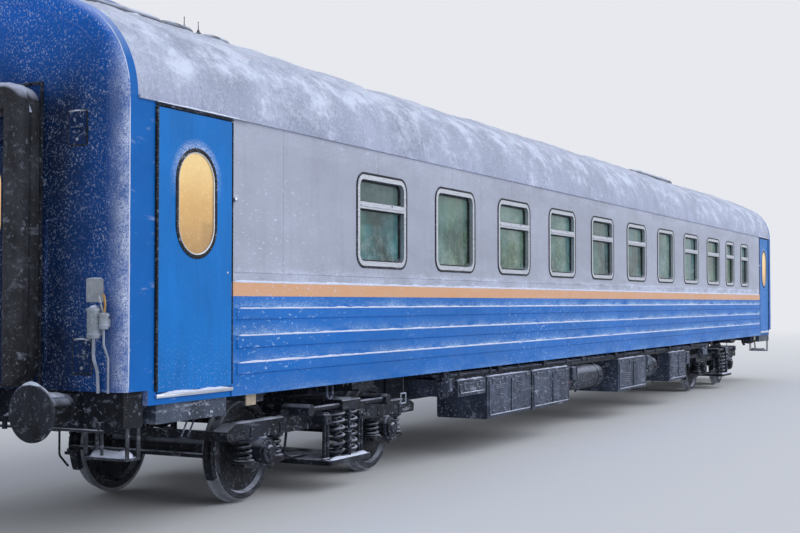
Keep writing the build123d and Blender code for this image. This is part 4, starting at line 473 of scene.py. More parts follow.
def weathered(name, base, dust, rough=0.55, metallic=0.0, on_top=0.85, on_side=0.4, scale=1.0,
              depth=0.003):
    """Painted or bare metal under road dust, with snow on top of it and blown against it."""
    mat = Recipe(name, metallic)
    tint = mat.toned(mat.cloud(4.5 * scale), base, 0.7, 1.35)
    film = mat.grain(2.2 * scale, 7, (1, 1, 0.6), rough=0.7).between(0.42, 0.7, 0, 0.85)
    tint = mat.mix(film, tint, dust)
    tint = mat.mix(mat.grain(60 * scale, 4).between(0.56, 0.72, 0, 0.7), tint, shade(base, 0.4))
    mask = mat.snow(on_top, on_side, scale)
    wear = mat.grain(14, 4) * 0.5 + mask
    return mat.finish(mat.mix(mask, tint, paint().snow), wear.between(0.1, 1.1, rough * 0.85, 0.9),
                      mat.grain(70 * scale, 5) + mask * 2.5, 0.5, depth)


def seal_rubber():
    """Black rubber of the window and door seals, with a little snow caught on it."""
    mat = Recipe("seal_rubber")
    cloud = mat.grain(30, 4)
    mask = mat.snow(0.7, 0.75, 2.4)
    tone = mat.mix(cloud.between(0.35, 0.65), (0.007, 0.008, 0.010), (0.02, 0.022, 0.026))
    return mat.finish(mat.mix(mask, tone, shade(paint().snow, 0.8)), cloud.between(0.3, 0.7, 0.45, 0.7),
                      mat.grain(220, 3) + mask * 2.0, 0.25, 0.001)


def bright_metal():
    """Brushed aluminium of frames and rims, frosted in places."""
    mat = Recipe("bright_metal", 0.85)
    brushed = mat.grain(120, 3, (0.05, 1, 1))
    mask = mat.snow(0.7, 0.25)
    tone = mat.mix(brushed.between(0.35, 0.65), (0.44, 0.47, 0.54), (0.60, 0.63, 0.70))
    return mat.finish(mat.mix(mask, tone, paint().snow), (brushed + mask).between(0.3, 1.3, 0.24, 0.7),
                      brushed, 0.15, 0.0006)


def window_glass():
    """Tinted double glazing, cloudy with frost towards the bottom."""
    mat = Recipe("window_glass", gloss=0.4)
    mat.set("IOR", 1.52)
    z = mat.parts(mat.place)[2]
    cloud = mat.grain(1.1, 5, (1, 1, 1.3))
    hue = mat.grain(0.8, 3, (1, 1, 0.6), (0.4, 0, 0.9)).between(0.40, 0.60)
    tint = mat.mix(hue, (0.10, 0.19, 0.10), (0.055, 0.20, 0.22))
    tint = mat.mix(cloud.between(0.40, 0.54), shade(paint().glass, 0.35), tint)
    tint = mat.mix(cloud.between(0.54, 0.68, 0, 0.7), tint, (0.30, 0.40, 0.38))
    tint = mat.mix(z.between(*TRANSOM, 0, 0.30), tint, (0.22, 0.33, 0.32))
    reflected = mat.grain(5, 5, (0.5, 1, 2.2), rough=0.7).between(0.5, 0.6, 0, 0.35)
    tint = mat.mix(reflected, tint, shade(paint().glass, 0.5))
    frost = mat.grain(9, 8, rough=0.75).between(0.45, 0.7) * z.between(2.3, 2.75, 0.6, 0.15)
    mat.set("Alpha", frost.between(0, 0.5, 0.84, 0.97))
    tone = mat.mix(frost, tint, (0.42, 0.5, 0.52))
    return mat.finish(tone, frost.between(0, 0.5, 0.05, 0.4), mat.grain(1.2, 2), 0.03, 0.01)


def door_glass():
    """Glass of the doors that glows itself as painted lamplight from inside, warm and brightest at the top,
    with the shadow of a post painted into the glow.
    """
    mat = Recipe("door_glass", gloss=0.4)
    x, _, z = mat.parts(mat.place)
    # Painted lamplight: the glass glows warm, brightest at the top
    glow = mat.mix(z.between(2.30, 2.72), (0.40, 0.24, 0.10), (0.80, 0.50, 0.19))
    glow = mat.mix(z.between(2.72, 3.12), glow, (1.0, 0.76, 0.36))
    glow = mat.mix(mat.grain(2.4, 4).between(0.42, 0.65, 0, 0.35), glow, (0.58, 0.34, 0.13))
    # Painted shadow: a darker patch low on the inner side, where a post blocks the lamp
    post_shadow = abs(x).between(11.36, 11.40, 1, 0) * z.between(2.56, 2.60, 1, 0)
    glow = mat.mix(post_shadow * 0.45, glow, (0.34, 0.21, 0.10))
    frost = mat.grain(22, 7, rough=0.75).between(0.52, 0.72, 0, 0.4)
    # The glass itself glows: painted lamplight, not a lamp
    mat.set("Emission Color", glow)
    mat.set("Emission Strength", 0.78)
    mat.set("Alpha", 0.93)
    mat.set("IOR", 1.52)
    tone = mat.mix(frost, (0.10, 0.065, 0.03), (0.40, 0.36, 0.30))
    return mat.finish(tone, frost.between(0, 0.4, 0.07, 0.4), mat.grain(1.5, 2), 0.03, 0.01)


def panel_board():
    """Cream laminate of the inner walls."""
    mat = Recipe("panel_board")
    weave = mat.grain(35, 4, (1, 1, 0.3))
    tone = mat.mix(mat.grain(1.4, 4).between(0.35, 0.65), (0.50, 0.43, 0.32), (0.62, 0.55, 0.42))
    tone = mat.mix(weave.between(0.5, 0.75, 0, 0.3), tone, (0.36, 0.29, 0.2))
    return mat.finish(tone, weave.between(0.3, 0.7, 0.42, 0.6), weave, 0.12, 0.001)


def berth_leather():
    """Wine-red leathercloth of the berths."""
    mat = Recipe("berth_leather")
    pores = mat.grain(260, 4)
    tone = mat.mix(mat.grain(5, 4).between(0.35, 0.65), (0.20, 0.035, 0.03), (0.32, 0.06, 0.05))
    tone = mat.mix(pores.between(0.55, 0.75, 0, 0.6), tone, (0.10, 0.015, 0.012))
    return mat.finish(tone, pores.between(0.3, 0.7, 0.38, 0.55), pores, 0.35, 0.001)


def curtain_cloth():
    """Pale woven curtain."""
    mat = Recipe("curtain_cloth")
    mat.set("Sheen Weight", 0.3)
    weave = mat.grain(420, 2, (1, 1, 0.02)) * mat.grain(420, 2, (0.02, 1, 1))
    tone = mat.mix(weave.between(0.15, 0.4), (0.50, 0.49, 0.42), (0.74, 0.72, 0.64))
    return mat.finish(tone, weave.between(0.1, 0.5, 0.75, 0.95), weave, 0.3, 0.0008)


def settled_snow():
    """Clean settled snow."""
    mat = Recipe("settled_snow")
    mat.set("Subsurface Weight", 0.15)
    mat.set("Subsurface Radius", (0.02, 0.025, 0.03))
    cloud = mat.cloud(14)
    return mat.finish(mat.toned(cloud, paint().snow, 0.86, 1.08), cloud.between(0, 1, 0.75, 0.95),
                      mat.grain(120, 6, rough=0.7), 0.5, 0.003)


def wheel_steel(number, centre):
    """A wheel seen by its radius: dusty web, bright rim face, and a pale outer ring that is partly polished
    tread and partly a painted highlight.
    """
    mat = Recipe(f"wheel_steel_{number}", 0.15)
    x, _, z = mat.parts(mat.place)
    x, z = x - centre, z - AXLE_Z
    radius = (x * x + z * z) ** 0.5
    cloud = mat.cloud(9)
    # Outer ring: partly polished tread, partly a painted highlight
    polish_and_highlight = radius.between(0.4645, 0.470)
    tint = mat.mix(cloud, (0.010, 0.011, 0.014), (0.040, 0.043, 0.055))
    rim = mat.mix(cloud, (0.018, 0.020, 0.026), (0.055, 0.060, 0.078))
    tint = mat.mix(radius.between(0.405, 0.415), tint, rim)
    tint = mat.mix(polish_and_highlight, tint, mat.mix(cloud, (0.16, 0.175, 0.21), (0.32, 0.34, 0.39)))
    mask = mat.snow(0.8, 0.5)
    rough = (mat.grain(20, 4) - polish_and_highlight * 0.5).between(-0.2, 0.7, 0.3, 0.8)
    return mat.finish(mat.mix(mask, tint, paint().snow), rough, mat.grain(70, 4) + mask * 2.0, 0.35, 0.002)


def lamp_glow():
    """Warm cover of a ceiling lamp."""
    mat = Recipe("lamp_glow")
    ribs = mat.grain(60, 2, (1, 0.1, 1))
    mat.set("Emission Color", (1.0, 0.74, 0.42))
    mat.set("Emission Strength", 6.0)
    return mat.finish(mat.mix(ribs, (0.9, 0.8, 0.62), (1.0, 0.93, 0.8)), ribs.between(0.3, 0.7, 0.3, 0.5),
                      ribs, 0.2, 0.001)


MAKERS = {maker.__name__: maker for maker in (
    side_paint, end_paint, door_paint, roof_paint, seal_rubber, bright_metal, window_glass, door_glass,
    panel_board, berth_leather, curtain_cloth, settled_snow, lamp_glow, roof_snow, end_fitting_paint)}

# Weathered finishes: own colour, colour of the dust, and what else differs
WEATHERED = {
    "rubber": ((0.018, 0.019, 0.024), (0.07, 0.075, 0.09),
               dict(rough=0.7, on_top=0.9, on_side=0.35, depth=0.002)),
    "roof_gear": ((0.085, 0.095, 0.12), (0.22, 0.25, 0.32), dict(on_top=1.0, on_side=0.8)),
    "hood_gear": ((0.05, 0.058, 0.08), (0.15, 0.17, 0.23), dict(on_top=1.0, on_side=0.5)),
    # chassis: near-black, partly the underframe's black paint and partly painted shade under the body
    "chassis": ((0.009, 0.011, 0.016), (0.032, 0.040, 0.062), dict(on_side=0.50)),
    "dark_gear": ((0.011, 0.013, 0.019), (0.042, 0.053, 0.080), dict(on_side=0.6, scale=1.3)),
    "floor_board": ((0.045, 0.045, 0.05), (0.08, 0.08, 0.08), dict(on_top=0, on_side=0)),
    "cast_iron": ((0.012, 0.013, 0.017), (0.044, 0.052, 0.076),
                  dict(rough=0.7, metallic=0.1, on_side=0.5, depth=0.005)),
    "case_paint": ((0.034, 0.043, 0.068), (0.095, 0.120, 0.190), dict(on_side=0.8)),
    "case_gear": ((0.046, 0.058, 0.088), (0.115, 0.145, 0.215), dict(on_side=0.8, scale=1.4)),
    "tank_paint": ((0.022, 0.027, 0.040), (0.055, 0.068, 0.105), dict(on_side=0.6)),
    "red_paint": ((0.42, 0.045, 0.018), (0.16, 0.07, 0.05), dict(on_side=0.35)),
    "step_metal": ((0.036, 0.046, 0.070), (0.085, 0.11, 0.16), dict(on_top=1.0, on_side=0.85)),
    "spring_steel": ((0.013, 0.014, 0.018), (0.045, 0.052, 0.075),
                     dict(rough=0.6, metallic=0.1, on_side=0.45)),
    "axle_steel": ((0.022, 0.023, 0.028), (0.05, 0.055, 0.07), dict(metallic=0.2)),
    "socket_paint": ((0.26, 0.30, 0.38), (0.38, 0.43, 0.54), dict(rough=0.5, on_side=0.9, scale=2.0)),
    "brass": ((0.46, 0.27, 0.07), (0.3, 0.22, 0.12), dict(rough=0.4, metallic=0.6, on_side=0.1, scale=3.0)),
    "beige_paint": ((0.40, 0.33, 0.24), (0.26, 0.23, 0.20), dict(rough=0.5, on_side=0.4, scale=2.0)),
}

# Finish of each node of the model, by how its name starts. Wheels get their own, and springs and berths
# are replaced
NODE_FINISHES = {
    "side_wall": "side_paint", "roof_shell": "roof_paint", "end_wall": "end_paint",
    "floor_plate": "floor_board", "underframe": "chassis", "cross_walls": "panel_board",
    "vestibule": "panel_board", "corridor_wall": "panel_board",
    "window_frames": "bright_metal", "window_panes": "window_glass", "gangway_door": "end_paint",
    "gangway_pane": "door_glass", "gangway_": "rubber", "coupler": "cast_iron", "buffers": "cast_iron",
    "battery": "case_paint", "equipment": "case_paint", "air_tanks": "tank_paint",
    "entry_steps": "step_metal", "roof_walkway": "roof_gear", "roof_hoods": "hood_gear",
    "end_fittings": "end_fitting_paint", "brake_pipe": "chassis", "underfloor_gear": "case_paint",
    "bogie_": "chassis", "axle_boxes": "cast_iron", "brake_gear": "cast_iron", "door_pane": "door_glass",
    "door_": "door_paint", "axle_": "axle_steel",
}

# Up to which angle the edges of each finish are smooth
SMOOTH = {"settled_snow": 60, "curtain_cloth": 80, "berth_leather": 70, "roof_snow": 70}


def finish_named(name):
    """A finish by name, made the first time that it is asked for."""
    if made := bpy.data.materials.get(f"coach_{name}"):
        return made
    if name in MAKERS:
        return MAKERS[name]()
    base, dust, rest = WEATHERED[name]
    return weathered(name, base, dust, **rest)


def choose(*pieces):
    """Selects just these pieces, the first one active."""
    bpy.ops.object.select_all(action="DESELECT")
    for piece in pieces:
        piece.select_set(True)
    if pieces:
        bpy.context.view_layer.objects.active = pieces[0]


def edit():
    """Opens the active piece for editing, selected all over."""
    bpy.ops.object.mode_set(mode="EDIT")
    bpy.ops.mesh.select_all(action="SELECT")


def done():
    """Closes the edit with the faces pointing outwards."""
    bpy.ops.mesh.select_all(action="SELECT")
    bpy.ops.mesh.normals_make_consistent(inside=False)
    bpy.ops.object.mode_set(mode="OBJECT")
    return bpy.context.object


def settle(piece):
    """Brings a piece's place and turn into its mesh."""
    choose(piece)
    bpy.ops.object.transform_apply(location=True, rotation=True, scale=True)
    return piece


def merge_doubles():
    """Merges points of the open piece that lie on each other."""
    bpy.ops.mesh.remove_doubles(threshold=0.00001)


def apply(piece, kind, **settings):
    """Adds a modifier to a piece and applies it."""
    modifier = piece.modifiers.new(kind.lower(), kind)
    for key, value in settings.items():
        setattr(modifier, key, value)
    choose(piece)
    bpy.ops.object.modifier_apply(modifier=modifier.name)
    return piece


def extrude(value):
    """Draws the selected faces out."""
    bpy.ops.mesh.extrude_region_move(TRANSFORM_OT_translate={"value": value})


def join(parts):
    """Several parts, or one, as one piece."""
    if not isinstance(parts, list):
        return parts
    if len(parts) > 1:
        choose(*parts)
        bpy.ops.object.join()
    return parts[0]


def shift(x=0.0, y=0.0, z=0.0):
    """A move by a distance."""
    return Matrix.Translation((x, y, z))


def both_sides(places):
    """Moves to some places along the coach, on both of its sides."""
    moves = [shift(x) for x in places]
    return moves + [OTHER_SIDE @ move for move in moves]


def twin(source, move):
    """A copy of a settled piece at a move, with its own mesh."""
    made = source.copy()
    made.data = source.data.copy()
    made.data.transform(move)
    if move.determinant() < 0:
        made.data.flip_normals()
    bpy.context.collection.objects.link(made)
    return made


def copies(parts, moves):
    """The parts, joined, at each move, as one piece."""
    source = settle(join(parts))
    made = [twin(source, move) for move in moves]
    bpy.data.objects.remove(source)
    return join(made)


def turned_to(piece, spot, angle, axis):
    """A flat piece at the origin, turned round an axis and put in its place."""
    piece.data.transform(Matrix.Translation(spot) @ Matrix.Rotation(angle, 4, axis))
    return piece


def fit(parts, name, finish, moves=(STAY,), body="coach"):
    """Joins parts into a named piece with its finish, at each move, and lets it ride on its body."""
    piece = settle(copies(parts, moves))
    bpy.ops.object.shade_smooth_by_angle(angle=radians(SMOOTH.get(finish, 35)))
    piece.name = piece.data.name = name
    piece.data.materials.clear()
    piece.data.materials.append(finish_named(finish))
    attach(piece, body)
    return piece


def block(low, high, soft=0.0, cuts=2):
    """A block between two corners, its edges rounded."""
    choose()
    centre = [(a + b) / 2 for a, b in zip(low, high)]
    bpy.ops.mesh.primitive_cube_add(size=1, location=centre, scale=[b - a for a, b in zip(low, high)])
    if soft:
        edit()
        bpy.ops.mesh.bevel(offset=soft, segments=cuts, affect="EDGES")
        done()
    return bpy.context.object


def bar(middle, half, low, high, soft):
    """A block by its middle and half length along the coach, and its bounds across and upwards."""
    return block((middle - half, *low), (middle + half, *high), soft)


def rounded_plane(centre, width, height, corner, cuts):
    """Opens an upright plane facing -Y with rounded corners."""
    choose()
    bpy.ops.mesh.primitive_plane_add(size=1, location=centre, rotation=(pi / 2, 0, 0))
    bpy.ops.transform.resize(value=(width, 1, height))
    settle(bpy.context.object)
    edit()
    bpy.ops.mesh.bevel(offset=corner, segments=cuts, affect="VERTICES")


def rounded_ring(centre, width, height, corner, face, depth, soft, cuts=8):
    """A rounded rectangular ring facing -Y, drawn back by depth, with softened rims."""
    rounded_plane(centre, width, height, corner, cuts)
    bpy.ops.mesh.inset(thickness=face, use_even_offset=True)
    bpy.ops.mesh.delete(type="FACE")
    bpy.ops.mesh.select_all(action="SELECT")
    extrude((0, depth, 0))
    return apply(done(), "BEVEL", width=soft, segments=2, limit_method="ANGLE", angle_limit=radians(60))


def rounded_panel(centre, width, height, corner, depth, soft):
    """A rounded rectangular panel facing -Y, drawn back by depth, with a chamfered rim."""
    rounded_plane(centre, width, height, corner, 6)
    bpy.ops.mesh.inset(thickness=soft, use_even_offset=True)
    bpy.ops.transform.translate(value=(0, -soft, 0))
    bpy.ops.mesh.select_all(action="SELECT")
    bpy.ops.mesh.select_mode(type="FACE")
    extrude((0, depth, 0))
    bpy.ops.mesh.select_mode(type="VERT")
    return done()


def turned(centre, axis, steps, sides=28):
    """A turned form along an axis from (distance, radius) steps, closed at both ends."""
    choose()
    turn = {"X": (0, pi / 2, 0), "Y": (-pi / 2, 0, 0), "Z": (0, 0, 0)}[axis]
    way = Vector([1.0 if axis == letter else 0.0 for letter in "XYZ"])
    centre = Vector(centre)
    at, radius = steps[0]
    bpy.ops.mesh.primitive_circle_add(vertices=sides, radius=radius, fill_type="NGON",
                                      location=centre + way * at, rotation=turn)
    settle(bpy.context.object)
    edit()
    for next_at, next_radius in steps[1:]:
        extrude(way * (next_at - at))
        ratio = next_radius / radius
        bpy.ops.transform.resize(value=(ratio, ratio, ratio), center_override=centre + way * next_at)
        at, radius = next_at, next_radius
    return done()


def rod(points, radius, bend=0.0):
    """A round bar along some points, with bends at its corners."""
    choose()
    bpy.ops.curve.primitive_nurbs_path_add(location=ORIGIN)
    piece = bpy.context.object
    route = [Vector(points[0])]
    for before, corner, after in zip(points, points[1:], points[2:]):
        corner = Vector(corner)
        back = Vector(before) - corner
        ahead = Vector(after) - corner
        reach = min(bend, back.length * 0.45, ahead.length * 0.45) if bend else 0.0005
        route += [corner + back.normalized() * reach, corner, corner + ahead.normalized() * reach]
    route.append(Vector(points[-1]))
    piece.data.splines.clear()
    spline = piece.data.splines.new("NURBS")
    spline.points.add(len(route) - 1)
    for point, spot in zip(spline.points, route):
        point.co = (*spot, 1)
    curved = len(route) > 2
    spline.order_u = 3 if curved else 2
    spline.use_endpoint_u = True
    spline.resolution_u = 6 if curved else 1
    piece.data.dimensions = "3D"
    piece.data.bevel_depth = radius
    piece.data.bevel_resolution = 2
    piece.data.use_fill_caps = True
    choose(piece)
    bpy.ops.object.convert(target="MESH")
    edit()
    merge_doubles()
    return done()


def bolt(spot, axis, size=0.012, rise=0.008, way=-1):
    """A hexagon bolt head on a washer, pointing down its axis, or up it where way is 1."""
    head = turned(spot, axis, [(way * rise, size * 0.8), (way * rise * 0.85, size), (-way * 0.001, size)], 6)
    washer = turned(spot, axis, [(way * rise * 0.25, size * 1.35), (-way * 0.001, size * 1.4)], 16)
    return join([head, washer])


def snow_bank(path, across, width, height, step=0.05, seed=0.0, taper=0.12, up=UP):
    """A lumpy bank of snow along a path, thinning out to nothing at both ends."""
    points = [Vector(point) for point in path]
    runs = [(b - a).length for a, b in zip(points, points[1:])]
    total = sum(runs)
    across, up = Vector(across), Vector(up)
    choose()
    bpy.ops.mesh.primitive_grid_add(x_subdivisions=max(4, int(total / step)), y_subdivisions=10, size=1,
                                    location=ORIGIN)
    bank = bpy.context.object
    for vertex in bank.data.vertices:
        along = min(1.0, max(0.0, vertex.co.x + 0.5)) * total
        turn = 2 * pi * (vertex.co.y + 0.5)
        left, spot = along, points[-1]
        for number, run in enumerate(runs):
            if left <= run or number == len(runs) - 1:
                spot = points[number].lerp(points[number + 1], min(1.0, left / run))
                break
            left -= run
        thin = sqrt(min(1.0, along / taper, (total - along) / taper) + 1e-9)
        lump = 0.78 + 0.55 * noise.noise(spot * 6.0 + Vector((seed, 0, 0)))
        lump += 0.30 * noise.noise(spot * 26.0 + Vector((0, seed, cos(turn))))
        lump = max(0.12, lump)
        rise = sin(turn)
        lift = height * lump * rise if rise > 0 else height * 0.3 * rise
        reach = 0.5 * width * (0.75 + 0.4 * lump) * cos(turn)
        vertex.co = spot + across * (reach * thin) + up * (lift * thin)
    edit()
    bpy.ops.mesh.remove_doubles(threshold=0.0002)
    return done()


def ridge(start, end, y, z, width, height, step=0.05, seed=0.0, taper=0.12):
    """A level bank of snow along the coach."""
    return snow_bank([(start, y, z), (end, y, z)], ACROSS, width, height, step, seed, taper)


def across_at(x, *spots):
    """Points in a plane across the coach, at one place along it."""
    return [(x, y, z) for y, z in spots]


class CoachOperator(bpy.types.Operator):
    """A step that adds one group of pieces."""

    bl_options = {"REGISTER", "UNDO"}


class COACH_OT_finishes(CoachOperator):
    """Gives every node of the model its finish."""

    bl_idname = "coach.finishes"
    bl_label = "Finishes"

    def execute(self, context):
        for name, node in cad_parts.items():
            fitting = [finish for start, finish in NODE_FINISHES.items() if name.startswith(start)]
            for slot in node.material_slots if fitting else ():
                slot.material = finish_named(fitting[0])
        axles = [centre + turn * AXLE_REACH for _, centre in BOGIES for turn in (-1, 1)]
        for number, place in enumerate(axles, 1):
            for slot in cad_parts[f"wheels_{number}"].material_slots:
                slot.material = wheel_steel(number, place)
        return {"FINISHED"}


class COACH_OT_windows(CoachOperator):
    """Adds the rubber seals, glazing bars and latches of the windows."""

    bl_idname = "coach.windows"
    bl_label = "Window seals"

    def execute(self, context):
        seal = measures().seal
        middle = (WINDOW_LOW + WINDOW_HIGH) / 2
        height = WINDOW_HIGH - WINDOW_LOW
        for name, width, places in (("wide", WIDE, WIDE_PLACES), ("narrow", NARROW, NARROW_PLACES)):
            outer = rounded_ring((0, -SIDE - 0.010, middle), width + 0.016 + 2 * seal,
                                 height + 0.016 + 2 * seal,
                                 WINDOW_CORNER + 0.008 + seal, seal, 0.012, 0.004)
            inner = rounded_ring((0, -PANE_FACE - 0.018, middle), width - 0.078, height - 0.078,
                                 WINDOW_CORNER - 0.039, 0.020, 0.0185, 0.003)
            fit([outer, inner], f"window_seals_{name}", "seal_rubber", both_sides(places))
        low, high = TRANSOM
        for name, width, places in (("wide", WIDE, BARRED_PLACES), ("narrow", NARROW, NARROW_PLACES)):
            rubber = bar(0, width / 2 - 0.041, (-SIDE + 0.0295, low - 0.012),
                         (-PANE_FACE - 0.0002, high + 0.012), 0.004)
            fit(rubber, f"transom_rubber_{name}", "seal_rubber", both_sides(places))
            strip = rounded_panel((0, -SIDE - 0.012, (low + high) / 2), width - 0.10, 0.030, 0.008, 0.006,
                                  0.003)
            knob = turned((width * 0.2, -SIDE - 0.006, high - 0.012), "Y",
                          [(-0.016, 0.006), (-0.014, 0.009), (0.0, 0.009), (0.001, 0.014)], 14)
            fit([strip, knob], f"transom_strip_{name}", "bright_metal", both_sides(places))
        return {"FINISHED"}


def curtain(width):
    """One hanging curtain, gathered along its rail, with its lower hem."""
    folds = int(width / 1.6 * 8)
    choose()
    bpy.ops.mesh.primitive_grid_add(x_subdivisions=folds * 8, y_subdivisions=14, size=1, location=ORIGIN)
    cloth = bpy.context.object
    for vertex in cloth.data.vertices:
        across, down = vertex.co.x, 0.5 - vertex.co.y
        wave = sin(across * folds * 2 * pi + 0.4 * sin(down * 3))
        depth = 0.0052 * (0.75 + 0.35 * down)
        pull = 1 - 0.05 * sin(down * pi)
        vertex.co = (across * width * pull, wave * depth, -down * CURTAIN_DROP)
    return cloth


class COACH_OT_curtains(CoachOperator):
    """Hangs pale curtains behind several windows."""

    bl_idname = "coach.curtains"
    bl_label = "Curtains"

    def execute(self, context):
        number = 0
        for side, bare in BARE_WINDOWS.items():
            for window, centre in enumerate(WIDE_PLACES):
                if window in bare:
                    continue
                for turn in (-1, 1):
                    number += 1
                    width = 0.20 + 0.05 * ((window + turn) % 3)
                    cloth = curtain(width)
                    edge = centre + turn * (WIDE / 2 - 0.035 - width / 2)
                    cloth = fit(cloth, f"curtain_{number}", "curtain_cloth",
                                [shift(edge, side * 1.4560, 3.17)])
        return {"FINISHED"}


class COACH_OT_doors(CoachOperator):
    """Adds the rubbers, rims, locks, thresholds and rain strips of the side doors."""

    bl_idname = "coach.doors"
    bl_label = "Door fittings"

    def execute(self, context):
        x, z, width, height = DOOR_WINDOW
        low, high = DOOR_X
        foot, head = DOOR_Z
        back = -SIDE + 0.004
        gasket = rounded_ring((x, -DOOR_FACE - 0.007, z), width + 0.056, height + 0.056,
                              (width + 0.055) / 2 - 0.001, 0.034, 0.0085, 0.003, 20)
        rim = rounded_ring((x, -DOOR_FACE - 0.004, z), width + 0.002, height + 0.002, width / 2 - 0.001,
                           0.016, 0.017, 0.002, 20)
        lock = turned((high - 0.060, -DOOR_FACE, 2.172), "Y",
                      [(-0.005, 0.006), (-0.004, 0.009), (0.001, 0.010)], 20)
        for source, name, finish in ((gasket, "window_rubber", "seal_rubber"),
                                     (join([rim, lock]), "steelwork", "bright_metal")):
            settle(source)
            for door, move in DOORS:
                fit(twin(source, move), f"{name}_{door}", finish, body=f"door_{door}")
            bpy.data.objects.remove(source)
        seals = [block((low - 0.033, -DOOR_FACE - 0.014, foot + 0.01), (low - 0.0085, back, head), 0.007),
                 block((high + 0.0085, -DOOR_FACE - 0.003, foot + 0.01), (high + 0.022, back, head), 0.004),
                 block((low - 0.030, -DOOR_FACE - 0.006, head + 0.0085), (high + 0.022, back, head + 0.026),
                       0.005)]
        fit(seals, "door_seals", "seal_rubber", ALL_CORNERS)
        strip = block((low - 0.04, -SIDE - 0.034, head + 0.030), (high + 0.25, back, head + 0.0345), 0.0015)
        knob = turned((high + 0.045, -SIDE + 0.002, 2.80), "Y",
                      [(-0.034, 0.012), (-0.030, 0.020), (0.0, 0.024)], 20)
        sill = block((low - 0.02, -SIDE - 0.020, foot - 0.045), (high + 0.02, back, foot - 0.014), 0.004)
        fit([strip, knob, sill], "door_surrounds", "bright_metal", ALL_CORNERS)
        return {"FINISHED"}


class COACH_OT_ledge_snow(CoachOperator):
    """Lays snow on the ribs, the stripe, the gutter, the steps and the thresholds."""

    bl_idname = "coach.ledge_snow"
    bl_label = "Snow on ledges"

    def execute(self, context):
        height = measures().ridge
        start, end = -10.90, 10.90
        banks = [ridge(start, end, -PANEL - 0.004, top - 0.004, 0.016, height, seed=number * 7.3)
                 for number, top in enumerate(RIB_TOPS)]
        banks.append(ridge(start - 0.06, end + 0.06, -SIDE - 0.004, STRIPE[1], 0.016, height * 1.3,
                           seed=31.0))
        fit(banks, "snow_on_ribs", "settled_snow", BOTH_SIDES)
        low, high = DOOR_X
        sill = ridge(low + 0.02, high - 0.02, -SIDE - 0.012, DOOR_Z[0] - 0.016, 0.030, 0.022, 0.03, 4.0)
        strip = ridge(low - 0.03, high + 0.24, -SIDE - 0.016, GUTTER - 0.001, 0.032, 0.013, 0.03, 9.0)
        step = snow_bank(across_at(-FRONT + 0.13, (-1.475, 0.726), (-1.085, 0.726)), ALONG, 0.15, 0.060,
                         0.03, 2.0, 0.05)
        fit([sill, strip, step], "snow_at_doors", "settled_snow", ALL_CORNERS)
        return {"FINISHED"}


def coil(radius, wire, height, turns):
    """An open coil spring with its two seats, standing on the origin."""
    choose()
    bpy.ops.mesh.primitive_circle_add(vertices=10, radius=wire / 2,
                                      location=(radius - wire / 2, 0, wire / 2), rotation=(pi / 2, 0, 0))
    apply(settle(bpy.context.object), "SCREW", axis="Z", angle=2 * pi, steps=28, render_steps=28,
          iterations=turns, screw_offset=(height - wire) / turns)
    edit()
    merge_doubles()
    bpy.ops.mesh.select_all(action="DESELECT")
    bpy.ops.mesh.select_non_manifold()
    bpy.ops.mesh.edge_face_add()
    wound = done()
    full, bore = radius * 0.98, radius * 0.6
    foot = turned(ORIGIN, "Z", [(0, full), (0.008, full), (0.008, bore), (0.03, radius * 0.5)], 24)
    head = turned((0, 0, height - 0.008), "Z", [(0, bore), (0.0, full), (0.008, full)], 24)
    return join([wound, foot, head])


class COACH_OT_springs(CoachOperator):
    """Puts open coil springs in place of the plain ones."""

    bl_idname = "coach.springs"
    bl_label = "Coil springs"

    def execute(self, context):
        wire = measures().wire
        corners = [(turn, side) for turn in (-1, 1) for side in (-1, 1)]
        for end, centre in BOGIES:
            pair = copies([coil(0.105, wire, 0.4845, 6), coil(0.063, wire * 0.6, 0.4845, 9)],
                          [shift(centre + turn * 0.13, side * 1.205, 0.3302) for turn, side in corners])
            axle = copies(coil(0.080, wire * 0.85, 0.228, 4),
                          [shift(centre + reach + turn * 0.25, side * SPRING_LINE, 0.4217)
                           for reach in (-AXLE_REACH, AXLE_REACH) for turn, side in corners])
            piece = fit([pair, axle], f"coil_springs_{end}", "spring_steel", body=f"bogie_{end}")
            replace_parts(piece, f"springs_{end}")
        return {"FINISHED"}


def roof_height(across):
    """Height of the roof's skin at a distance from the middle."""
    across = abs(across)
    if across < HAUNCH_REACH:
        return CROWN_CENTRE + sqrt(CROWN_RADIUS ** 2 - across * across)
    return SPRING + sqrt(max(0.0, HAUNCH_RADIUS ** 2 - (across - HAUNCH_CENTRE) ** 2))


def lumps(spot, scale, seed):
    """A smooth random level between about -1 and 1."""
    return noise.noise(spot * scale + Vector((seed, -seed, seed * 0.7)))


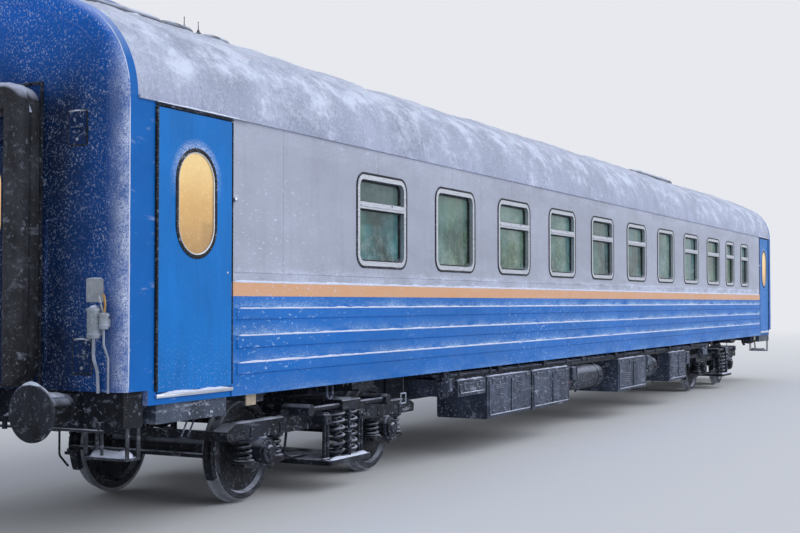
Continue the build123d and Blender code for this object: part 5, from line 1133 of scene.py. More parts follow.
class COACH_OT_roof_snow(CoachOperator):
    """Lays the thin uneven snow over the roof."""

    bl_idname = "coach.roof_snow"
    bl_label = "Snow on the roof"

    def execute(self, context):
        depth = measures().blanket
        choose()
        bpy.ops.mesh.primitive_grid_add(x_subdivisions=440, y_subdivisions=60, size=1, location=ORIGIN)
        blanket = bpy.context.object
        reach, half = 1.40, 12.19
        for vertex in blanket.data.vertices:
            x = vertex.co.x * 2 * half
            across = vertex.co.y * 2
            y = max(-reach, min(reach, reach * across * (1.12 - 0.12 * across * across)))
            slope = (roof_height(y + 0.004) - roof_height(y - 0.004)) / 0.008
            away = Vector((0, -slope, 1)).normalized()
            spot = Vector((x, y, roof_height(y)))
            cover = 0.62 - 0.85 * (abs(y) / reach) ** 2
            for share, scale, seed in ((0.75, 0.9, 3.0), (0.45, 2.7, 8.0), (0.30, 8.0, 5.0),
                                       (0.16, 21.0, 2.0)):
                cover += share * lumps(spot, scale, seed)
            rise = depth * max(-0.35, min(1.15, cover))
            edge = min(1.0, (half - abs(x)) / 0.15, (reach - abs(y)) / 0.12)
            vertex.co = spot + away * (rise * edge - 0.012 * (1 - edge))
        apply(blanket, "SOLIDIFY", thickness=0.014, offset=-1)
        edit()
        fit(done(), "snow_on_roof", "roof_snow")
        hoods = []
        for start, end, middle, width, rise in HOODS:
            left, right = start - FRONT, end - FRONT
            hoods.append(ridge(left + 0.06, right - 0.06, middle, ROOF_TOP + rise - 0.012, width - 0.11,
                               0.034, 0.07, start, 0.3))
            for side in (-1, 1):
                edge = middle + side * (width / 2 + 0.03)
                hoods.append(ridge(left + 0.02, right - 0.02, edge, roof_height(edge) + 0.004, 0.12, 0.045,
                                   0.06, start + side, 0.3))
        fit(hoods, "snow_on_hoods", "settled_snow")
        return {"FINISHED"}


def louvres(first, last, middle, width, rise):
    """Slats on both sides of one roof hood."""
    slats = []
    run = last - first - 0.30
    parts = max(1, round(run / 0.55))
    rows = 2 if rise < 0.1 else 4
    for side in (-1, 1):
        face = middle + side * width / 2
        back, front = sorted((face - side * 0.004, face + side * 0.013))
        low = roof_height(face) + 0.035
        high = ROOF_TOP + rise - 0.10
        for n in range(parts):
            left = first - FRONT + 0.15 + n * (run / parts) + 0.03
            right = left + run / parts - 0.06
            for row in range(rows):
                z = low + (row + 0.5) * (high - low) / rows
                slats.append(block((left, back, z - 0.008), (right, front, z + 0.006), 0.003))
    return slats


class COACH_OT_roof_gear(CoachOperator):
    """Adds boards and brackets of the ridge walkway, louvres of the hoods and the two aerials."""

    bl_idname = "coach.roof_gear"
    bl_label = "Roof gear"

    def execute(self, context):
        top = ROOF_TOP
        start, end = WALKWAY
        length = (end - start) / 6
        boards = [block((start + n * length + 0.006, row * 0.165 - 0.078, top + 0.050),
                        (start + (n + 1) * length - 0.006, row * 0.165 + 0.078, top + 0.064), 0.004)
                  for n in range(6) for row in (-1, 0, 1)]
        fit(boards, "walkway_boards", "roof_gear")
        bracket = [bar(0, 0.02, (-0.335, roof_height(0.335) - 0.004), (-0.255, top + 0.030), 0.006),
                   bar(0, 0.02, (-0.29, top + 0.020), (-0.22, top + 0.0495), 0.006),
                   bolt((0, -0.305, top + 0.030), "Z", 0.010, 0.007, 1)]
        places = [start + 0.3 + n * (end - start - 0.6) / 13 for n in range(14)]
        fit(bracket, "walkway_brackets", "roof_gear", both_sides(places))
        fit([slat for hood in HOODS for slat in louvres(*hood)], "hood_louvres", "hood_gear")
        mast = [(0, 0.030), (0.012, 0.030), (0.018, 0.018), (0.04, 0.010), (0.05, 0.0045), (0.115, 0.0035),
                (0.118, 0.006), (0.124, 0.006), (0.127, 0.003)]
        aerials = [turned((x - FRONT, y, top + rise - 0.004), "Z", mast, 14)
                   for x, y, rise in ((2.62, -0.06, 0.165), (2.80, -0.10, 0.145))]
        fit(aerials, "roof_aerials", "dark_gear")
        bead = rod([(-12.2, -SIDE - 0.010, GUTTER + 0.026), (12.2, -SIDE - 0.010, GUTTER + 0.026)], 0.005)
        fit(bead, "gutter_bead", "roof_gear", BOTH_SIDES)
        return {"FINISHED"}


def bead_route():
    """The bead that follows the edge of the end wall, from the sill up to the crown."""
    inset = 0.16
    bend = HAUNCH_RADIUS - inset
    spots = [(inset - SIDE, 1.27), (inset - SIDE, SPRING)]
    for angle in range(8, 60, 8):
        spots.append((-(HAUNCH_CENTRE + bend * cos(radians(angle))), SPRING + bend * sin(radians(angle))))
    for step in range(1, 5):
        y = 1.0107 * (1 - step / 4)
        spots.append((-y, CROWN_CENTRE + sqrt((CROWN_RADIUS - inset) ** 2 - y * y)))
    return spots


class COACH_OT_end_walls(CoachOperator):
    """Adds beads, gaskets, rails, sockets and bolts to both ends."""

    bl_idname = "coach.end_walls"
    bl_label = "End fittings"

    def execute(self, context):
        face = -END_FACE
        lines = [rod(across_at(face - 0.001, *bead_route()), 0.0055, 0.05),
                 rod(across_at(face - 0.001, (-0.955, 1.25), (-0.955, 3.66)), 0.0035)]
        sill = block((face - 0.012, -0.47, 1.236), (face + 0.004, 0.47, 1.250), 0.003)
        fit([copies(lines, ALL_CORNERS), copies(sill, BOTH_ENDS)], "end_beads", "end_paint")
        gaskets = [turned_to(rounded_ring(ORIGIN, 0.204, 0.284, 0.024, 0.0115, 0.008, 0.002, 4),
                             (face - 0.0055, -y, z), -pi / 2, "Z") for y, z in HATCHES]
        fit(gaskets, "hatch_gaskets", "seal_rubber", ALL_CORNERS)
        metal = []
        for y, z in HATCHES:
            for across in (-0.055, 0.055):
                metal.append(turned((face - 0.010, -y + across, z + 0.128), "Y",
                                    [(-0.018, 0.007), (0.018, 0.007)], 14))
            metal.append(turned((face - 0.008, -y, z - 0.09), "X",
                                [(-0.008, 0.008), (-0.006, 0.013), (0, 0.014)], 18))
        for z in (2.013 + 0.073, 2.013 - 0.073):
            for y in (0.068 - 1.28, -0.068 - 1.28):
                metal.append(turned((face - 0.003, y, z), "X",
                                    [(-0.0035, 0.003), (-0.0025, 0.0055), (0.0005, 0.006)], 12))
        fit(metal, "end_metalwork", "socket_paint", ALL_CORNERS)
        out = face - 0.075
        rail = rod([(face + 0.002, -0.86, 2.55), (out, -0.86, 2.55), (out, -0.86, 1.45),
                    (face + 0.002, -0.86, 1.45)],
                   0.012, 0.03)
        pads = [turned((face - 0.001, -0.86, z), "X", [(-0.006, 0.020), (-0.003, 0.026), (0.001, 0.028)], 20)
                for z in (1.45, 2.55)]
        fit([rail, *pads], "end_handrails", "end_paint", ALL_CORNERS)
        sockets = []
        for y, low, high, radius in ((1.335, 1.648, 1.858, 0.050), (1.415, 1.718, 1.818, 0.036)):
            x = face - 1.5 * radius
            lid = [(-0.002, radius + 0.004), (0.006, radius + 0.002), (0.011, radius * 0.6),
                   (0.013, radius * 0.25)]
            ring = [(0, radius + 0.0005), (0.003, radius + 0.005), (0.015, radius + 0.005),
                    (0.018, radius + 0.0005)]
            hinge = (-y - radius * 0.5, high + 0.02)
            sockets += [turned((x, -y, high + 0.014), "Z", lid, 24),
                        turned((x, -y, low + 0.02), "Z", ring, 24),
                        rod(across_at(x + radius * 0.8, hinge, (hinge[0], high - 0.06)), 0.006)]
        conduit = rod([(out, -1.335, 1.65), (out, -1.335, 1.50), (face - 0.03, -1.335, 1.40),
                       (face - 0.02, -1.335, 1.235)], 0.013, 0.05)
        second = rod([(face - 0.054, -1.415, 1.72), (face - 0.054, -1.415, 1.60), (face - 0.02, -1.43, 1.50),
                      (face - 0.02, -1.43, 1.235)], 0.009, 0.04)
        fit([*sockets, conduit, second], "socket_details", "socket_paint", ALL_CORNERS)
        lever = rod([(face - 0.054, -1.415, 1.822), (face - 0.052, -1.425, 1.90),
                     (face - 0.050, -1.415, 1.960), (face - 0.050, -1.405, 1.985)], 0.0095, 0.03)
        fit(lever, "brass_levers", "brass", ALL_CORNERS)
        front, back = face - 0.016, face + 0.003
        clamps = [block((front, -0.748, 1.262), (back, -0.722, 3.636), 0.004)]
        clamps += [bolt((front, -0.735, 1.35 + 0.185 * n), "X", 0.009, 0.006) for n in range(13)]
        clamps += [bolt((front, -0.63 + 0.21 * n, 3.643), "X", 0.009, 0.006) for n in range(7)]
        top = block((front, -0.748, 3.630), (back, 0.748, 3.656), 0.004)
        fit([copies(clamps, ALL_CORNERS), copies(top, BOTH_ENDS)], "bellows_clamps", "dark_gear")
        base = -FRONT - 0.025
        details = [bolt((base, -BUFFER_Y + y, BUFFER_Z + z), "X", 0.014, 0.010)
                   for y in (-0.125, 0.125) for z in (-0.10, 0.10)]
        details.append(turned((base, -BUFFER_Y, BUFFER_Z), "X", [
            (-0.225, 0.088), (-0.222, 0.118), (-0.200, 0.122), (-0.180, 0.1115), (-0.02, 0.1115),
            (-0.002, 0.128),
            (0.002, 0.128)], 36))
        fit(details, "buffer_details", "cast_iron", ALL_CORNERS)
        bolts = [bolt((-FRONT - 0.001, -y, z), "X", 0.012, 0.009)
                 for y in (0.28, 0.42, 0.62, 1.30, 1.42) for z in (0.995, 1.205)]
        fit(bolts, "headstock_bolts", "dark_gear", ALL_CORNERS)
        return {"FINISHED"}


class COACH_OT_end_snow(CoachOperator):
    """Lays snow on what stands out from the ends."""

    bl_idname = "coach.end_snow"
    bl_label = "Snow at the ends"

    def execute(self, context):
        face = -END_FACE
        banks = [snow_bank(across_at(face - 0.006, (-y - half, z), (-y + half, z)), ALONG, 0.018, 0.012,
                           0.015, z)
                 for y, z, half in ((1.10, 3.400, 0.085), (1.16, 1.640, 0.085), (1.28, 2.104, 0.078))]
        banks.append(snow_bank(across_at(face - 0.075, (-1.37, 1.885), (-1.30, 1.885)), ALONG, 0.075, 0.022,
                               0.012, 5.0, 0.03))
        banks.append(snow_bank([(-FRONT - 0.03, -BUFFER_Y, 1.197), (-FRONT - 0.22, -BUFFER_Y, 1.199)],
                               ACROSS, 0.13, 0.045, 0.02, 6.0, 0.04))
        banks.append(snow_bank(across_at(-FRONT - 0.366, (-1.02, 1.292), (-BUFFER_Y, 1.306),
                                         (-0.83, 1.292)), ALONG,
                               0.045, 0.022, 0.015, 7.0, 0.05))
        banks.append(snow_bank(across_at(face - 0.10, (-0.71, 3.40), (-0.62, 3.600), (-0.45, 3.628),
                                         (0.0, 3.630)),
                               ALONG, 0.15, 0.030, 0.03, 8.0, 0.08))
        corner = -FRONT - 0.006
        banks.append(snow_bank(across_at(corner, (-SIDE + 0.001, 1.26), (-SIDE + 0.001, 3.50)), ALONG,
                               0.011, 0.006, 0.03, 11.0, 0.2, (0, -1, 0)))
        arch = [(-(HAUNCH_CENTRE + HAUNCH_RADIUS * cos(radians(turn))),
                 SPRING + HAUNCH_RADIUS * sin(radians(turn)))
                for turn in range(0, 61, 10)]
        banks.append(snow_bank(across_at(corner, *arch), ALONG, 0.011, 0.007, 0.03, 13.0, 0.3,
                               (0, -0.8, 0.6)))
        fit(banks, "snow_on_ends", "settled_snow", ALL_CORNERS)
        head = snow_bank([(-FRONT - 0.05, -0.02, 1.232), (-FRONT - 0.38, -0.03, 1.232)], ACROSS, 0.26,
                         0.022, 0.03, 12.0, 0.08)
        fit(head, "snow_on_couplers", "settled_snow", BOTH_ENDS)
        return {"FINISHED"}


def case_door(width, height, kind):
    """Rim, hinges, catches and louvres of one case door, its field centred at the origin and facing -Y."""
    top, foot = height / 2, -height / 2
    parts = [rounded_ring((0, -0.005, 0), width + 0.010, height + 0.010, 0.030, 0.014, 0.0065, 0.002, 4)]
    for across in (-0.32 * width, 0.32 * width):
        parts.append(turned((across, -0.008, top + 0.006), "X",
                            [(-0.042, 0.0075), (-0.041, 0.009), (0.041, 0.009), (0.042, 0.0075)], 12))
        parts.append(bar(across, 0.03, (-0.006, top - 0.045), (0.001, top + 0.002), 0.002))
        parts += [bolt((across + aside, -0.006, top - 0.026), "Y", 0.005, 0.004)
                  for aside in (-0.016, 0.016)]
    for across in (-0.28 * width, 0.28 * width):
        parts.append(rounded_panel((across, -0.004, foot + 0.035), 0.055, 0.042, 0.008, 0.005, 0.002))
        parts.append(rod([(across, -0.004, foot + 0.035), (across, -0.020, foot + 0.035),
                          (across + 0.034, -0.020, foot + 0.030)], 0.0045, 0.006))
    if kind == "cabinet":
        parts += [bar(0, 0.30 * width, (-0.011, z - 0.006), (0.001, z + 0.007), 0.0045)
                  for z in [0.02 - 0.032 * row for row in range(5)]]
    elif kind == "battery":
        parts.append(rod([(-0.07, 0.001, 0.03), (-0.07, -0.022, 0.03), (0.07, -0.022, 0.03),
                          (0.07, 0.001, 0.03)],
                         0.0055, 0.010))
        parts += [bar(0, 0.13, (-0.009, z - 0.004), (0.001, z + 0.005), 0.0035)
                  for z in [top - 0.075 - 0.022 * row for row in range(3)]]
    return join(parts)


class COACH_OT_cases(CoachOperator):
    """Adds hinges, catches, handles, louvres, hangers and snow to the underfloor cases."""

    bl_idname = "coach.cases"
    bl_label = "Case fittings"

    def execute(self, context):
        doors, hangers, snow = [], [], []
        near_and_far = [(case, STAY) for case in CASES]
        near_and_far += [(case, OTHER_SIDE) for case in CASES + (FAR_RELAY,)]
        for (start, end, low, count, kind), side in near_and_far:
            width = (end - start) / count
            spots = [side @ shift(start + (n + 0.5) * width, -CASE_DOOR_FACE, (low + CASE_TOP) / 2)
                     for n in range(count)]
            doors.append(copies(case_door(width - 0.09, CASE_TOP - low - 0.09, kind), spots))
            parts = []
            for x in (start + 0.09, (start + end) / 2, end - 0.09):
                parts += [bar(x, 0.022, (-1.470, CASE_TOP - 0.030), (-1.405, CASE_TOP + 0.012), 0.004),
                          bar(x, 0.022, (-1.418, CASE_TOP - 0.002), (-1.404, 1.045), 0.004),
                          bolt((x, -1.4195, CASE_TOP + 0.035), "Y", 0.009, 0.007)]
            hangers.append(copies(parts, [side]))
            bank = ridge(start + 0.03, end - 0.03, -1.455, CASE_TOP, 0.050, 0.016, 0.03, start, 0.06)
            lip = ridge(start + 0.05, end - 0.05, -CASE_DOOR_FACE - 0.002, low + 0.046, 0.014, 0.008, 0.02,
                        start + 4, 0.1)
            snow.append(copies([bank, lip], [side]))
        fit(doors, "case_doors", "case_gear")
        fit(hangers, "case_hangers", "dark_gear")
        fit(snow, "snow_on_cases", "settled_snow")
        return {"FINISHED"}


def junction_box(x, y, z, wide, deep, tall):
    """A small box under the floor with its lid, bolts, strap and cable."""
    face, top, foot = y - deep / 2, z + tall / 2, z - tall / 2
    parts = [block((x - wide / 2, face, foot), (x + wide / 2, y + deep / 2, top), 0.012, 3),
             rounded_ring((x, face - 0.003, z), wide - 0.02, tall - 0.02, 0.014, 0.010, 0.006, 0.0015, 4)]
    for dx in (-1, 1):
        for dz in (-1, 1):
            parts.append(bolt((x + dx * (wide / 2 - 0.028), face, z + dz * (tall / 2 - 0.028)), "Y", 0.006,
                              0.005))
    parts.append(bar(x, 0.02, (y - 0.01, top - 0.004), (y + 0.01, 1.05), 0.004))
    parts.append(rod([(x + 0.03, y, foot + 0.004), (x + 0.03, y, foot - 0.05),
                      (x + 0.03, y + 0.10, foot - 0.09), (x + 0.03, y + 0.16, 1.04)], 0.008, 0.04))
    return join(parts)


def tank_parts(start, end):
    """Drain, pipes and hanger bolts of one air tank."""
    middle = (start + end) / 2
    parts = [turned((middle, TANK_Y, 0.551), "Z", [(-0.028, 0.010), (-0.028, 0.017), (0.012, 0.019)], 14),
             rod(across_at(middle + 0.1, (TANK_Y, 0.925), (TANK_Y, 0.98), (-1.05, 1.04), (-0.60, 1.05)),
                 0.013, 0.05),
             rod([(end - 0.02, TANK_Y, TANK_Z), (end + 0.05, TANK_Y, TANK_Z), (end + 0.05, TANK_Y, 1.03)],
                 0.012, 0.04)]
    for x in (start + 0.275, end - 0.275):
        parts += [rod([(x, -1.352, 0.76), (x, -1.352, 0.96)], 0.009),
                  bolt((x, -1.352, 0.972), "Z", 0.011, 0.010, 1),
                  turned((x, -1.352, 0.73), "Z",
                         [(0, 0.012), (0.005, 0.016), (0.028, 0.016), (0.032, 0.010)], 12)]
    return parts


class COACH_OT_pipework(CoachOperator):
    """Runs conduits, pipes, drains, stays and small boxes along the underframe."""

    bl_idname = "coach.pipework"
    bl_label = "Pipework"

    def execute(self, context):
        lines = [rod([(-6.35, y, 1.118), (-6.35, y, z), (6.35, y, z), (6.35, y, 1.118)], radius, 0.08)
                 for y, z, radius in ((-1.425, 1.046, 0.017), (-1.375, 1.060, 0.012),
                                      (-1.335, 1.052, 0.012))]
        for x in [-6.1 + n * 12.2 / 13 for n in range(14)]:
            lines += [bar(x, 0.018, (-1.450, 1.028), (-1.315, 1.034), 0.0025),
                      bar(x, 0.018, (-1.452, 1.028), (-1.445, 1.126), 0.0025),
                      bolt((x, -1.3955, 1.0275), "Z", 0.007, 0.006)]
        for x, y, radius, low in ((-10.72, -1.20, 0.034, 0.90), (-2.10, -1.22, 0.026, 0.70),
                                  (-1.90, -1.30, 0.016, 0.78), (1.72, -1.25, 0.026, 0.72),
                                  (2.98, -1.30, 0.020, 0.66),
                                  (4.42, -1.22, 0.028, 0.62), (6.08, -1.28, 0.024, 0.80),
                                  (10.72, -1.20, 0.034, 0.90)):
            lines.append(rod([(x, y, 1.13), (x, y, low + 0.06), (x + 0.03, y - 0.03, low)], radius, 0.05))
            cuff = [(0, radius + 0.001), (0.002, radius + 0.007), (0.020, radius + 0.007),
                    (0.022, radius + 0.001)]
            lines.append(turned((x, y, low + 0.16), "Z", cuff, 18))
        fit(lines, "underfloor_pipes", "dark_gear", BOTH_SIDES)
        stays = []
        for start, end in (((-2.20, -1.36, 1.04), (-1.62, -1.36, 0.60)),
                           ((1.70, -1.40, 1.04), (2.06, -1.40, 0.62)),
                           ((4.44, -1.38, 1.04), (4.95, -1.38, 0.66))):
            x, y, z = end
            stays += [rod([start, end], 0.009),
                      turned((x, y + 0.012, z), "Y", [(-0.028, 0.016), (-0.026, 0.020), (0, 0.020)], 18),
                      rod([end, (x, y, z + 0.15), (x + 0.02, y + 0.02, 1.04)], 0.010, 0.05)]
        fit(stays, "diagonal_stays", "case_gear", BOTH_SIDES)
        boxes = [junction_box(*box) for box in (
            (-2.02, -1.41, 0.86, 0.16, 0.10, 0.20), (1.86, -1.41, 0.90, 0.20, 0.12, 0.16),
            (4.55, -1.40, 0.84, 0.22, 0.14, 0.24), (5.85, -1.42, 0.92, 0.26, 0.10, 0.14),
            (6.15, -1.38, 0.93, 0.14, 0.12, 0.18), (-6.36, -1.40, 0.94, 0.10, 0.12, 0.16))]
        fit(boxes, "junction_boxes", "case_gear", BOTH_SIDES)
        plate = rounded_panel((-10.60, -1.505, 1.070), 0.15, 0.10, 0.012, 0.012, 0.003)
        strap = block((-10.62, -1.498, 1.09), (-10.58, -1.486, 1.126), 0.003)
        fit([plate, strap], "beige_plates", "beige_paint", ALL_CORNERS)
        plate = rounded_ring((-7.69, -1.512, 0.884), 0.13, 0.12, 0.012, 0.014, 0.008, 0.002, 4)
        fit(plate, "small_plates", "socket_paint", ALL_CORNERS)
        strap = block((-7.70, -1.510, 0.93), (-7.68, -1.500, 1.126), 0.002)
        fit(strap, "small_plate_straps", "dark_gear", ALL_CORNERS)
        dish = [(-0.006, 0.050), (-0.006, 0.106), (0.0, 0.128), (0.006, 0.140), (0.028, 0.171),
                (0.055, 0.187), (0.0855, 0.1935), (0.110, 0.1935), (0.113, 0.186)]
        ends = []
        for start, _ in TANKS:
            ends.append(turned((start, TANK_Y, TANK_Z), "X", dish, 40))
            ends.append(turned((start - 0.02, TANK_Y, TANK_Z), "X",
                               [(-0.02, 0.012), (-0.02, 0.022), (0.016, 0.024)], 20))
        fit(ends, "tank_ends", "red_paint")
        fit([part for tank in TANKS for part in tank_parts(*tank)], "tank_pipes", "dark_gear")
        return {"FINISHED"}


def axle_box_parts(axle):
    """Cover, bolts, spring seats and guard of one axle box, with the middle of the bogie at the origin."""
    parts = [bolt((axle + 0.088 * cos(turn), -1.150, AXLE_Z + 0.088 * sin(turn)), "Y", 0.011, 0.009)
             for turn in [radians(30 + 60 * n) for n in range(6)]]
    parts.append(turned((axle, -1.150, AXLE_Z), "Y", [(-0.020, 0.030), (-0.018, 0.048), (-0.006, 0.058),
                                                      (0.001, 0.064)], 32))
    parts.append(turned((axle, -1.118, AXLE_Z), "Y", [(-0.003, 0.112), (-0.002, 0.131), (0.02, 0.1335),
                                                      (0.024, 0.130)], 40))
    for x in (axle - 0.25, axle + 0.25):
        parts += [turned((x, -SPRING_LINE, 0.4215), "Z", [(0.020, 0.0955), (0.023, 0.099), (0.026, 0.0955)],
                         32),
                  bolt((x, -1.098, 0.690), "Y", 0.013, 0.010),
                  bar(x, 0.014, (-1.1065, 0.662), (-1.0975, 0.760), 0.003)]
    parts.append(rod([(axle - 0.115, -1.093, 0.462), (axle, -1.1405, 0.372), (axle + 0.115, -1.093, 0.462)],
                     0.010, 0.05))
    return parts


def bogie_parts():
    """Small parts of one side of a bogie, with its middle at the origin."""
    parts = axle_box_parts(-AXLE_REACH) + axle_box_parts(AXLE_REACH)
    nut = [(0, 0.022), (0.006, 0.030), (0.012, 0.030), (0.018, 0.018), (0.03, 0.016), (0.034, 0.011)]
    for x in (-0.35, 0.35):
        for link in (x - 0.031, x + 0.031):
            parts.append(turned((link, -1.225, 0.775), "Z", nut, 18))
            parts.append(turned((link, -1.225, 0.330), "Z", [(0, 0.032), (0.012, 0.032), (0.022, 0.023)],
                                18))
        parts.append(bolt((x, -1.268, 0.735), "Y", 0.015, 0.010))
    parts.append(turned((0, -1.296, 0.330), "Z", [
        (0.0, 0.022), (0.03, 0.022), (0.035, 0.028), (0.25, 0.028), (0.252, 0.031), (0.262, 0.031),
        (0.264, 0.014),
        (0.40, 0.014), (0.405, 0.024), (0.484, 0.024)], 22))
    parts += [bolt((x, -1.0985, 0.735), "Y", 0.012, 0.009) for x in (-0.75, -0.17, 0.17, 0.75)]
    parts += [bolt((x, -1.0985, 0.715), "Y", 0.012, 0.009) for x in (-1.62, 1.62)]
    parts.append(rod([(-1.845, -0.93, 0.66), (-1.845, -0.93, 0.42), (-1.72, -0.93, 0.30)], 0.011, 0.06))
    for side in (-1.0, 1.0):
        parts.append(rod([(side * 0.62, -0.93, 0.66), (side * 0.62, -0.90, 0.40),
                          (side * 0.50, -0.90, 0.355), (side * 0.20, -0.90, 0.350)], 0.013, 0.06))
    parts.append(rod([(-1.80, -1.060, 0.772), (-1.66, -1.060, 0.788), (-1.0, -1.060, 0.788),
                      (-0.62, -1.02, 0.80), (-0.50, -0.60, 0.80)], 0.010, 0.05))
    parts += [bar(x, 0.012, (-1.076, 0.768), (-1.044, 0.799), 0.003) for x in (-1.55, -1.15)]
    return parts


class COACH_OT_running_gear(CoachOperator):
    """Adds covers, bolts, dampers, straps, rods and snow to the bogies."""

    bl_idname = "coach.running_gear"
    bl_label = "Running gear"

    def execute(self, context):
        for end, centre in BOGIES:
            moves = (shift(centre), shift(centre) @ OTHER_SIDE)
            fit(bogie_parts(), f"bogie_details_{end}", "dark_gear", moves, f"bogie_{end}")
            banks = [ridge(start, start + 1.08, -1.035, 0.799, 0.10, 0.022, 0.04, start + centre, 0.10)
                     for start in (-1.70, 0.62)]
            banks += [snow_bank(across_at(axle, (-0.96, 0.636), (-1.10, 0.636)), ALONG, 0.11, 0.026, 0.02,
                                axle, 0.04)
                      for axle in (-AXLE_REACH, AXLE_REACH)]
            banks.append(ridge(-0.40, 0.40, -1.295, 0.331, 0.055, 0.030, 0.03, 3.0, 0.1))
            banks.append(ridge(-0.15, 0.15, -1.20, 0.926, 0.18, 0.028, 0.03, 6.0, 0.08))
            fit(banks, f"snow_on_bogie_{end}", "settled_snow", moves, body=f"bogie_{end}")
        return {"FINISHED"}


def cushion(low, high, crown):
    """A stuffed pad between two corners: crowned faces, and sides that pull in between the corners."""
    choose()
    bpy.ops.mesh.primitive_cube_add(size=2, location=ORIGIN)
    pad = bpy.context.object
    edit()
    bpy.ops.mesh.subdivide(number_cuts=11)
    done()
    centre = [(a + b) / 2 for a, b in zip(low, high)]
    half = [(b - a) / 2 for a, b in zip(low, high)]
    thin = half.index(min(half))
    first, second = [axis for axis in range(3) if axis != thin]
    for vertex in pad.data.vertices:
        spot = list(vertex.co)
        a, b = spot[first], spot[second]
        fall = (1 - abs(a) ** 3.2) * (1 - abs(b) ** 5.0)
        side = sqrt(max(0.0, 1 - 0.12 * spot[thin] ** 2))
        spot[thin] *= 1 - crown + crown * max(0.0, fall) ** 0.5
        spot[first] = a * (1 - 0.035 * (1 - b * b) * abs(a) ** 4) * side
        spot[second] = b * (1 - 0.012 * (1 - a * a) * abs(b) ** 4) * side
        vertex.co = [c + h * o for c, h, o in zip(centre, half, spot)]
    return settle(pad)


class COACH_OT_compartments(CoachOperator):
    """Fits the berths with lockers, frames and cushions, and adds shelves, tables and lamps."""

    bl_idname = "coach.compartments"
    bl_label = "Compartments"

    def execute(self, context):
        moves = []
        for n in range(9):
            left = FIRST_WALL + PITCH * n
            moves += [shift(left + 0.02), shift(left + PITCH - 0.02) @ Matrix.Scale(-1, 4, ALONG)]
        near, far = BERTH_ROW
        frames = [block((0.001, near, 1.205), (0.555, far, 1.488), 0.008),
                  block((0.001, near, 1.490), (0.585, far, 1.508), 0.006),
                  block((0.001, near, 2.545), (0.575, far, 2.572), 0.008)]
        frames += [turned_to(rounded_ring(ORIGIN, 0.82, 0.20, 0.02, 0.012, 0.006, 0.002, 4),
                             (0.559, near + 0.06 + n * 0.90 + 0.41, 1.345), pi / 2, "Z") for n in range(2)]
        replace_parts(fit(frames, "berth_frames", "panel_board", moves), "berths")
        rail = rod([(0.560, near + 0.25, 2.575), (0.585, near + 0.25, 2.70), (0.585, near + 0.95, 2.70),
                    (0.560, near + 0.95, 2.575)], 0.009, 0.04)
        fit(rail, "berth_rails", "bright_metal", moves)
        for name, low, high, crown in (
                ("lower_cushions", (0.006, near + 0.01, 1.5085), (0.590, far - 0.01, 1.640), 0.34),
                ("back_cushions", (0.003, near + 0.02, 1.665), (0.085, far - 0.02, 2.180), 0.40),
                ("upper_cushions", (0.006, near + 0.01, 2.5725), (0.562, far - 0.01, 2.652), 0.40)):
            pads = fit(cushion(low, high, crown), name, "berth_leather", moves)
        tables = []
        for n in range(9):
            x = FIRST_WALL + PITCH * (n + 0.5)
            top = rounded_panel(ORIGIN, 0.44, 0.47, 0.05, 0.022, 0.004)
            tables.append(turned_to(top, (x, -1.20, 1.985), -pi / 2, "X"))
            tables.append(rod(across_at(x, (-1.39, 1.20), (-1.39, 1.80), (-1.15, 1.972)), 0.014, 0.08))
        fit(tables, "window_tables", "panel_board")
        lamps = []
        for x, turn in ((-10.919, -1), (10.919, 1)):
            dome = [(0, 0.085), (turn * 0.012, 0.085), (turn * 0.03, 0.075), (turn * 0.045, 0.05),
                    (turn * 0.05, 0.02)]
            lamps += [turned((x, y, 3.02), "X", dome, 32) for y in (-0.95, 0.30)]
        fit(lamps, "vestibule_lamps", "lamp_glow")
        ceilings = [bar(x, 0.643, (-1.4615, 3.475), (1.4615, 3.491), 0.004) for x in (-11.565, 11.565)]
        fit(ceilings, "vestibule_ceilings", "panel_board")
        return {"FINISHED"}


BACKDROP = (0.80, 0.815, 0.86, 1)


def add_node(tree, kind, inputs, operation=None):
    """A new node in the studio's materials, its inputs set or linked."""
    node = tree.nodes.new(f"ShaderNode{kind}")
    if operation:
        node.operation = operation
    for key, value in inputs.items():
        if isinstance(value, bpy.types.NodeSocket):
            tree.links.new(value, node.inputs[key])
        else:
            node.inputs[key].default_value = value
    return node


def floor_finish():
    """Pale floor that fades into the backdrop far off."""
    material = bpy.data.materials.new("studio_floor")
    material.use_nodes = True
    tree = material.node_tree
    shader = tree.nodes["Principled BSDF"]
    shader.inputs["Base Color"].default_value = (0.74, 0.76, 0.80, 1)
    shader.inputs["Roughness"].default_value = 0.9
    glow = add_node(tree, "Emission", {"Color": BACKDROP})
    place = add_node(tree, "TexCoord", {})
    away = add_node(tree, "VectorMath", {0: place.outputs["Object"]}, "LENGTH")
    fade = add_node(tree, "MapRange", {"Value": away.outputs["Value"], "From Min": 16, "From Max": 70})
    path = add_node(tree, "LightPath", {})
    seen = add_node(tree, "Math", {0: fade.outputs[0], 1: path.outputs["Is Camera Ray"]}, "MULTIPLY")
    blend = add_node(tree, "MixShader", {0: seen.outputs[0], 1: shader.outputs[0], 2: glow.outputs[0]})
    tree.links.new(blend.outputs[0], tree.nodes["Material Output"].inputs["Surface"])
    return material


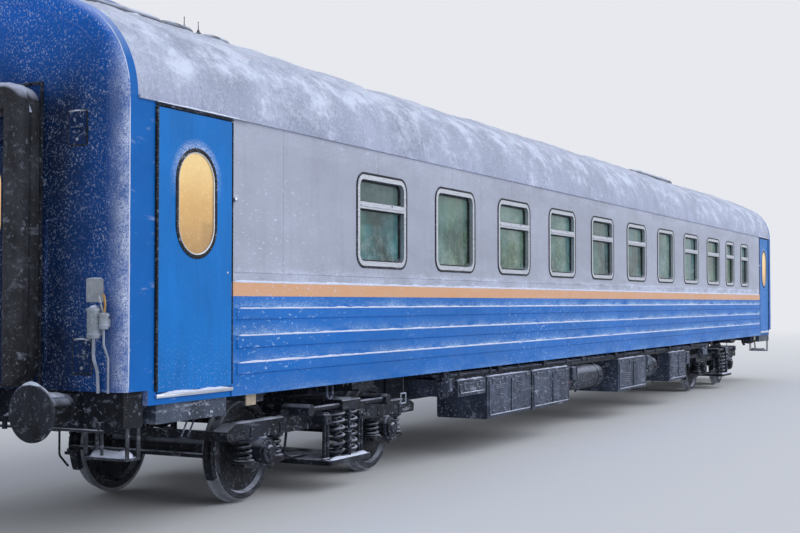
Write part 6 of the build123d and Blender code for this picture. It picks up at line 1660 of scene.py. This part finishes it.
def studio_world():
    """Cool soft light all round, and the plain backdrop where the camera, reflections or glass show it."""
    world = bpy.data.worlds.new("studio")
    world.use_nodes = True
    tree = world.node_tree
    sky = tree.nodes["Background"]
    sky.inputs["Color"].default_value = (0.90, 0.94, 1.0, 1)
    sky.inputs["Strength"].default_value = 0.52
    shown = add_node(tree, "Background", {"Color": BACKDROP})
    path = add_node(tree, "LightPath", {}).outputs
    either = add_node(tree, "Math", {0: path["Is Camera Ray"], 1: path["Is Glossy Ray"]}, "MAXIMUM")
    through = add_node(tree, "Math", {0: either.outputs[0], 1: path["Is Transmission Ray"]}, "MAXIMUM")
    blend = add_node(tree, "MixShader", {0: through.outputs[0], 1: sky.outputs[0], 2: shown.outputs[0]})
    tree.links.new(blend.outputs[0], tree.nodes["World Output"].inputs["Surface"])
    return world


class COACH_OT_studio(CoachOperator):
    """Sets the pale floor, the soft lights and the camera."""

    bl_idname = "coach.studio"
    bl_label = "Studio"

    def execute(self, context):
        choose()
        bpy.ops.mesh.primitive_circle_add(vertices=96, radius=220, fill_type="NGON", location=ORIGIN)
        floor = settle(bpy.context.object)
        floor.name = "studio_floor"
        floor.data.materials.append(floor_finish())
        context.scene.world = studio_world()
        bpy.ops.object.light_add(type="SUN", location=(8, -20, 14))
        sun = context.object
        sun.name = "soft_light"
        sun.data.energy = 1.8
        sun.data.angle = radians(70)
        sun.rotation_euler = Vector((0.30, -0.80, 0.52)).to_track_quat("Z", "Y").to_euler()
        bpy.ops.object.camera_add(location=(-19.763, -7.7275, 1.924),
                                  rotation=(radians(91.63), 0, radians(-62.6)))
        camera = context.object
        camera.data.lens = measures().lens
        camera.data.sensor_width = 36
        camera.data.clip_end = 500
        context.scene.camera = camera
        context.scene.view_settings.view_transform = "Standard"
        return {"FINISHED"}


OPERATORS = (
    COACH_OT_finishes, COACH_OT_windows, COACH_OT_curtains, COACH_OT_doors, COACH_OT_ledge_snow,
    COACH_OT_springs, COACH_OT_roof_snow, COACH_OT_roof_gear, COACH_OT_end_walls, COACH_OT_end_snow,
    COACH_OT_cases, COACH_OT_pipework, COACH_OT_running_gear, COACH_OT_compartments, COACH_OT_studio,
)


class COACH_PT_panel(bpy.types.Panel):
    """Lists the steps and colours of the coach."""

    bl_idname = "COACH_PT_panel"
    bl_label = "Passenger coach"
    bl_space_type = "VIEW_3D"
    bl_region_type = "UI"
    bl_category = "Coach"

    def draw(self, context):
        for group in (context.scene.coach_paint, context.scene.coach_sizes):
            box = self.layout.box()
            for key in group.__annotations__:
                box.prop(group, key)
        for step in OPERATORS:
            self.layout.operator(step.bl_idname)


CLASSES = (CoachPaint, CoachSizes) + OPERATORS + (COACH_PT_panel,)


def register():
    """Registers the classes and the two groups of settings."""
    for item in CLASSES:
        bpy.utils.register_class(item)
    bpy.types.Scene.coach_paint = bpy.props.PointerProperty(type=CoachPaint)
    bpy.types.Scene.coach_sizes = bpy.props.PointerProperty(type=CoachSizes)


def unregister():
    """Takes the classes and settings out again."""
    del bpy.types.Scene.coach_paint
    del bpy.types.Scene.coach_sizes
    for item in reversed(CLASSES):
        bpy.utils.unregister_class(item)


def main():
    """Runs every step in order."""
    register()
    bpy.ops.coach.finishes()
    bpy.ops.coach.windows()
    bpy.ops.coach.curtains()
    bpy.ops.coach.doors()
    bpy.ops.coach.ledge_snow()
    bpy.ops.coach.springs()
    bpy.ops.coach.roof_snow()
    bpy.ops.coach.roof_gear()
    bpy.ops.coach.end_walls()
    bpy.ops.coach.end_snow()
    bpy.ops.coach.cases()
    bpy.ops.coach.pipework()
    bpy.ops.coach.running_gear()
    bpy.ops.coach.compartments()
    bpy.ops.coach.studio()


if __name__ == "__main__":
    main()
